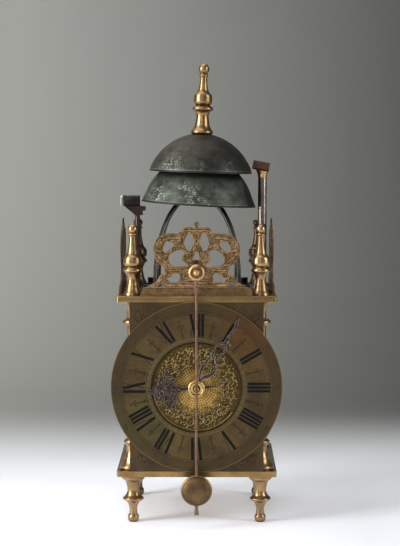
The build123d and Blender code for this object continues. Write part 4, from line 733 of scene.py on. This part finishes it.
# radii of the ring's divisions in mm, and the deep dark ring round the engraved centre
divisions = {"minutes": (69.1, 71.0), "quarters": (43.2, 46.9), "circles": (43.9, 47.2, 68.9, 71.2),
             "width": 0.34, "centreRadius": 42.3, "centreWidth": 1.2}


def circle(radius):
    return [polar(radius, 4 * i) for i in range(91)]


ticks = []
for count, ends in ((60, divisions["minutes"]), (48, divisions["quarters"])):
    for i in range(count):
        ticks.append([polar(radius, 360 / count * i) for radius in ends])
ticks += [circle(radius) for radius in divisions["circles"]]
engrave("dialDivisions", ticks, divisions["width"], wornCuts, bend=False)
engrave("centreRing", [circle(divisions["centreRadius"])], divisions["centreWidth"], cutDirtAndShadow,
        bend=False)

# a small flower on a stem between every two hours; each line is (radius, degrees aside)
flower = {"width": 0.5,
          "stem": ((47.4, 0.2), (54.5, 0.3), (58.6, 0.6), (60.2, 2.0), (58.9, 2.9), (57.6, 2.2)),
          "bud": ((57.4, 0.4), (60.6, 0.9), (63.0, 0.2), (64.6, 0.0)),
          "foot": ((47.3, 2.6), (49.6, 1.2), (51.6, 0.3))}
flowers = []
for i in range(12):
    for side in (-1, 1):
        for part in ("stem", "bud", "foot"):
            flowers.append([polar(r, 30 * i + 15 + side * turn) for r, turn in flower[part]])
engrave("halfHourFlowers", flowers, flower["width"], wornCuts)


def minuteFigures(look):
    # 5 to 60 outside the minute band
    bm = bmesh.new()
    for i in range(1, 13):
        words = bpy.data.curves.new("figure", "FONT")
        words.body = str(5 * i)
        words.size = look["size"] * mm
        words.align_x = "CENTER"
        words.align_y = "CENTER"
        mesh = meshOf("figure", words)
        upright = Matrix.Rotation(math.radians(90), 4, "X")
        lift = Matrix.Translation((0, -look["proud"] * mm, look["radius"] * mm))
        mesh.transform(onDial(30 * i) @ lift @ upright)
        bm.from_mesh(mesh)
        bpy.data.meshes.remove(mesh)
    newPiece("minuteFigures", bm, "clock_frame", wornCuts)


minuteFigures({"size": 5.2, "radius": 75.6, "proud": 0.02})
print("dial divided")


def scroll(x, z, size, start, hand, turns=1.35, steps=14):
    # a plant scroll that winds in: x, z of its eye in mm, start angle, hand is 1 or -1
    line = []
    for i in range(steps):
        share = i / (steps - 1)
        radius = size * (1 - share) ** 0.8 + 0.5
        angle = math.radians(start + hand * 360 * turns * share)
        line.append((x + radius * math.cos(angle), z + radius * math.sin(angle)))
    return line


def leaf(x, z, length, way, bow):
    # a curved cut with a thick middle
    a = math.radians(way)
    ahead, aside = (math.cos(a), math.sin(a)), (-math.sin(a), math.cos(a))
    line = []
    for share, swell in ((0, 0.4), (0.3, 1.3), (0.65, 1.2), (1, 0.3)):
        off = bow * math.sin(math.pi * share)
        line.append((x + ahead[0] * length * share + aside[0] * off,
                     z + ahead[1] * length * share + aside[1] * off, swell))
    return line


def centreFoliage(look):
    # two rings of scrolls with leaves: gold stems, each with a painted shadow stroke beside it
    rand = random.Random(look["seed"])
    front = dial["centreFront"]
    gold, dark = [], []

    def put(line, store):
        if max(math.hypot(p[0], p[1]) for p in line) < look["limit"]:
            store.append([(p[0] * mm, front, dial["centre"] + p[1] * mm,
                           p[2] if len(p) > 2 else 1.0) for p in line])

    for ring in look["rings"]:
        for i in range(ring["count"]):
            angle = math.radians(360 * (i + ring["turn"]) / ring["count"])
            hand = 1 if i % 2 else -1
            x, z = ring["radius"] * math.sin(angle), ring["radius"] * math.cos(angle)
            start = 90 - math.degrees(angle) + hand * look["unwind"]
            stem = scroll(x, z, ring["size"], start, hand)
            swell = [0.5 + 0.8 * math.sin(math.pi * k / len(stem)) for k in range(len(stem))]
            put([(px, pz, w) for (px, pz), w in zip(stem, swell)], gold)
            put(scroll(x, z, ring["size"] + look["beside"], start, hand), dark)
            for k in range(0, len(stem) - 2, 2):
                px, pz = stem[k]
                way = math.degrees(math.atan2(pz - z, px - x)) + hand * look["leafTurn"]
                length = ring["leaf"] * rand.uniform(0.8, 1.2)
                put(leaf(px, pz, length, way, hand * look["bow"]), gold)
                put(leaf(px + look["shadeX"], pz + look["shadeZ"], length, way, hand * look["bow"]),
                    dark)
    # small leaves fill the ground between the scrolls, each with a painted shadow stroke
    for row in range(look["fillRows"]):
        radius = look["fillFrom"] + look["fillPitch"] * row
        count = int(2 * math.pi * radius / look["fillPitch"])
        for i in range(count):
            angle = 2 * math.pi * (i + 0.5 * (row % 2)) / count + rand.uniform(-0.03, 0.03)
            way = rand.uniform(0, 360)
            x, z = radius * math.sin(angle), radius * math.cos(angle)
            put(leaf(x, z, rand.uniform(*look["fillLeaf"]), way, rand.uniform(-0.7, 0.7)), gold)
            put(leaf(x + look["fillShadeX"], z + look["fillShadeZ"], rand.uniform(*look["fillLeaf"]),
                     way, look["fillBow"]), dark)
    # the dark strokes are painted shadows of the gold ones
    engrave("centreFoliage", dark, look["cut"], cutDirtAndShadow, proud=0.06)
    engrave("centreFoliageLight", gold, look["stem"], leafGold)
    # painted highlight: a bright line along the lower left edge of the disc
    rim = [[polar(look["rim"], look["rimFrom"] + 5 * i, front) for i in range(look["rimSteps"])]]
    engrave("centreRimLight", rim, look["rimWidth"], paintedHighlightBrass, bend=False)


centreFoliage({"seed": 4, "limit": 40.0, "stem": 1.05, "cut": 0.6, "beside": 0.9, "unwind": 100,
               "leafTurn": 55, "bow": 1.1, "fillFrom": 21.0, "fillPitch": 2.7, "fillRows": 7,
               "fillLeaf": (1.6, 3.0), "fillBow": 0.4, "fillShadeX": 0.6, "fillShadeZ": -0.7,
               "shadeX": 0.5, "shadeZ": -0.6,
               "rim": 40.5, "rimFrom": 125, "rimSteps": 28, "rimWidth": 0.55,
               "rings": [{"radius": 33.2, "size": 5.6, "count": 12, "turn": 0.4, "leaf": 4.6},
                         {"radius": 24.0, "size": 2.8, "count": 14, "turn": 0.1, "leaf": 3.2}]})


def cornerScrolls(look):
    # a large scroll, a small one beside it and a few leaves in each corner of the plate
    lines = []
    for sx in (-1, 1):
        for sz in (-1, 1):
            x, z = look["x"] * sx, look["z"] * sz
            lines.append(scroll(x, z, look["size"], 90, -sx * sz, look["turns"]))
            lines.append(scroll(x - look["asideX"] * sx, z + look["asideZ"] * sz, look["small"], 0,
                                sx * sz, look["smallTurns"]))
            for way in look["leafWays"]:
                lines.append(leaf(x, z, look["size"], way, look["bow"] * sx))
    placed = [[(p[0] * mm, dial["plateFront"], dial["centre"] + p[1] * mm) for p in line]
              for line in lines]
    engrave("cornerScrolls", placed, look["width"], wornCuts)


cornerScrolls({"x": 51.5, "z": 66.0, "size": 7.0, "turns": 1.2, "small": 4.2, "smallTurns": 1.1,
               "asideX": 9.5, "asideZ": 4.0, "leafWays": (20, 75, 130, 200, 300), "bow": 1.2,
               "width": 0.5})
print("engraving done")


def fretCuts(look):
    # short cuts that flow along the limbs of the fret, none of them past its edges, every other one
    # with a painted highlight stroke beside it
    solid = nodes["front_fret"].data
    tree = BVHTree.FromPolygons([v.co for v in solid.vertices], [p.vertices[:] for p in solid.polygons])
    low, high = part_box("front_fret")
    base = low.z
    rand = random.Random(look["seed"])

    def onFret(x, z):
        start = Vector((x * mm, low.y - 0.01, base + z * mm))
        place = tree.ray_cast(start, Vector((0, 1, 0)))[0]
        return place is not None and place.y < look["front"] + 0.1 * mm

    def freeLength(x, z, way):
        # how far the fret goes on from a point, up to the longest cut
        a = math.radians(way)
        for k in range(1, look["steps"] + 1):
            if not onFret(x + look["step"] * k * math.cos(a), z + look["step"] * k * math.sin(a)):
                return look["step"] * (k - 1)
        return look["step"] * look["steps"]

    dark, bright = [], []
    rows = int((high.z - base) / mm / look["pitch"])
    for row in range(look["firstRow"], rows):
        for column in range(int(high.x / mm / look["pitch"]) + 1):
            x = look["pitch"] * (column + 0.5 * (row % 2)) + rand.uniform(-look["stray"], look["stray"])
            z = look["pitch"] * row + rand.uniform(-look["stray"], look["stray"])
            bow = rand.uniform(*look["bow"]) * rand.choice((-1, 1))
            if not onFret(x, z):
                continue
            # the limb runs where the fret goes on furthest both ways
            free = {way: freeLength(x, z, way) for way in range(0, 360, 20)}
            way = max(range(0, 180, 20), key=lambda w: free[w] + free[w + 180])
            back = max(0.0, free[way + 180] - look["margin"])
            length = min(look["longest"], back + free[way] - look["margin"])
            beside = min(free[(way + 80) % 360], free[(way + 280) % 360])
            if length < look["shortest"] or beside < look["beside"]:
                continue
            back = min(back, length / 2)
            a = math.radians(way)
            cut = leaf(x - back * math.cos(a), z - back * math.sin(a), length, way, bow)
            for side in (-1, 1):
                if all(onFret(side * px, pz) for px, pz, _ in cut):
                    dark.append([(side * px * mm, look["front"], base + pz * mm, w)
                                 for px, pz, w in cut])
                    # every other cut gets a painted highlight stroke beside it, offset up and to the
                    # left
                    if (row + column) % 2:
                        bright.append([((side * px + look["lightX"]) * mm, look["front"],
                                        base + (pz + look["lightZ"]) * mm, w) for px, pz, w in cut])
    engrave("fretCuts", dark, look["cut"], cutDirtAndShadow, proud=0.06)
    engrave("fretCutsLight", bright, look["cutLight"], paintedHighlightBrass)


def plinthHatching(look):
    # slanted cuts on the right half of the fret's foot, between two long lines
    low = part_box("front_fret")[0]

    def at(x, z):
        return (x * mm, low.y, low.z + z * mm)

    lines = []
    for k in range(look["count"]):
        x = look["from"] + look["pitch"] * k
        lines.append([at(x, look["bottom"]), at(x + look["slant"], look["top"])])
    for z in look["borders"]:
        lines.append([at(-look["half"], z), at(look["half"], z)])
    engrave("plinthHatching", lines, look["width"], cutDirtAndShadow, proud=0.04)


fretCuts({"front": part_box("front_fret")[0].y + 0.7 * mm, "seed": 7, "pitch": 2.3, "stray": 0.4,
          "firstRow": 5, "step": 0.5, "steps": 10, "margin": 0.7, "longest": 4.6, "shortest": 1.8,
          "beside": 0.8, "bow": (0.3, 0.9), "cut": 0.5, "cutLight": 0.3,
          "lightX": -0.45, "lightZ": 0.4})
plinthHatching({"count": 33, "from": 3.0, "pitch": 1.25, "slant": 1.6, "bottom": 1.6, "top": 6.6,
                "borders": (1.1, 7.0), "half": 47, "width": 0.32})
print("fret engraved")


def sweepBackdrop(look):
    # matt paper from the floor in a curve up the wall, open to a view from behind
    bm = bmesh.new()
    ends = [bm.verts.new((x, look["near"], 0)) for x in (-look["half"], look["half"])]
    edge = bm.edges.new(ends)
    out = bmesh.ops.extrude_edge_only(bm, edges=[edge])
    verts = [v for v in out["geom"] if isinstance(v, bmesh.types.BMVert)]
    bmesh.ops.translate(bm, vec=(0, look["turnAt"] - look["near"], 0), verts=verts)
    edges = [e for e in out["geom"] if isinstance(e, bmesh.types.BMEdge)]
    bent = bmesh.ops.spin(bm, geom=edges + verts, cent=(0, look["turnAt"], look["radius"]),
                          axis=(1, 0, 0), angle=math.radians(90), steps=32)
    last = [g for g in bent["geom_last"] if isinstance(g, bmesh.types.BMEdge)]
    up = bmesh.ops.extrude_edge_only(bm, edges=last)
    verts = [v for v in up["geom"] if isinstance(v, bmesh.types.BMVert)]
    bmesh.ops.translate(bm, vec=(0, 0, look["height"]), verts=verts)
    bmesh.ops.recalc_face_normals(bm, faces=bm.faces)
    bm.faces.ensure_lookup_table()
    if bm.faces[0].normal.z < 0:
        bmesh.ops.reverse_faces(bm, faces=bm.faces)
    mesh = bpy.data.meshes.new("backdrop")
    bm.to_mesh(mesh)
    bm.free()
    mesh.shade_smooth()
    sweep = newObject("backdrop", mesh)
    material, place = newMaterial("paperSweep")
    split = addNode(material, "SeparateXYZ", {}, {0: place})
    # painted shade: grey up the wall, white on the floor, and darker to the right
    rise = addNode(material, "MapRange",
                   {"interpolation_type": "SMOOTHSTEP", "From Min": look["whiteTo"],
                    "From Max": look["greyFrom"]}, {"Value": (split, "Y")})
    wall = overlay(material, look["wallLeft"], look["wallRight"], (split, "X"), look["across"])
    colour = addNode(material, "Mix", {"data_type": "RGBA", 6: linear(look["floor"])},
                     {0: (rise, "Result"), 7: wall})
    shader = addNode(material, "BsdfPrincipled",
                     {"Roughness": look["roughness"], "Specular IOR Level": look["shine"]},
                     {"Base Color": (colour, 2)})
    # painted light: the near floor glows a little for camera and mirror rays, lightening the clock's
    # shadow there, fading to the back and to the right; the lamps' light is unchanged
    path = addNode(material, "LightPath")
    close = addNode(material, "MapRange",
                    {"From Min": look["glowDepth"][1], "From Max": look["glowDepth"][0],
                     "To Max": look["glow"]}, {"Value": (split, "Y")})
    leftward = addNode(material, "MapRange",
                       {"From Min": look["glowSide"][1], "From Max": look["glowSide"][0]},
                       {"Value": (split, "X")})
    under = addNode(material, "Math", {"operation": "MULTIPLY"},
                    {0: (leftward, "Result"), 1: (close, "Result")})
    mirrored = addNode(material, "Math", {"operation": "MAXIMUM"},
                       {0: (path, "Is Glossy Ray"), 1: (path, "Is Transmission Ray")})
    direct = addNode(material, "Math", {"operation": "MAXIMUM"},
                     {0: (path, "Is Camera Ray"), 1: (mirrored, "Value")})
    lift = addNode(material, "Math", {"operation": "MULTIPLY"},
                   {0: (direct, "Value"), 1: (under, "Value")})
    glow = addNode(material, "Emission", {"Color": linear(look["floor"])},
                   {"Strength": (lift, "Value")})
    lit = addNode(material, "AddShader", {}, {0: (shader, "BSDF"), 1: (glow, "Emission")})
    # from behind the paper is clear
    real = addNode(material, "NewGeometry")
    clear = addNode(material, "BsdfTransparent")
    seen = addNode(material, "MixShader", {},
                   {0: (real, "Backfacing"), 1: (lit, "Shader"), 2: (clear, "BSDF")})
    addNode(material, "OutputMaterial", {}, {"Surface": (seen, "Shader")})
    mesh.materials.append(material)


# painted shade: the paper's colour runs from white under the clock to grey behind it, darker on the
# right
sweepBackdrop({"half": 4.0, "near": -3.0, "turnAt": 0.7, "radius": 0.65, "height": 2.4,
               "whiteTo": 0.04, "greyFrom": 0.62, "across": (-0.32, 0.34),
               "floor": "F2F4FA", "wallLeft": "949590", "wallRight": "585954",
               "roughness": 0.7, "shine": 0.2,
               "glow": 0.22, "glowDepth": (0, 0.26), "glowSide": (0.05, 0.16)})


def softbox(name, place, size, power, target=(0, 0, 0.2)):
    lamp = bpy.data.lights.new(name, "AREA")
    lamp.shape = "RECTANGLE"
    lamp.size, lamp.size_y = size
    lamp.energy = power
    holder = newObject(name, lamp)
    holder.location = place
    holder.rotation_euler = (Vector(target) - Vector(place)).to_track_quat("-Z", "Y").to_euler()
    holder.visible_camera = False


# a strong lamp low on the left, a narrow one on the right, a wide one above, a weak one in front
softbox("leftBox", (-1.5, -0.8, 0.75), (0.7, 1.4), 36)
softbox("rightBox", (1.6, -0.7, 0.8), (0.5, 1.3), 16)
softbox("topBox", (-0.4, 0.2, 1.9), (2.2, 1.8), 22)
softbox("frontFill", (-0.5, -2.8, 1.5), (1.2, 0.9), 9)
room = {"colour": "BEBEBC", "strength": 0.3}
world = bpy.data.worlds.new("studio")
bpy.context.scene.world = world
world.use_nodes = True
air = world.node_tree.nodes["Background"]
air.inputs["Color"].default_value = linear(room["colour"])
air.inputs["Strength"].default_value = room["strength"]
print("studio lit")
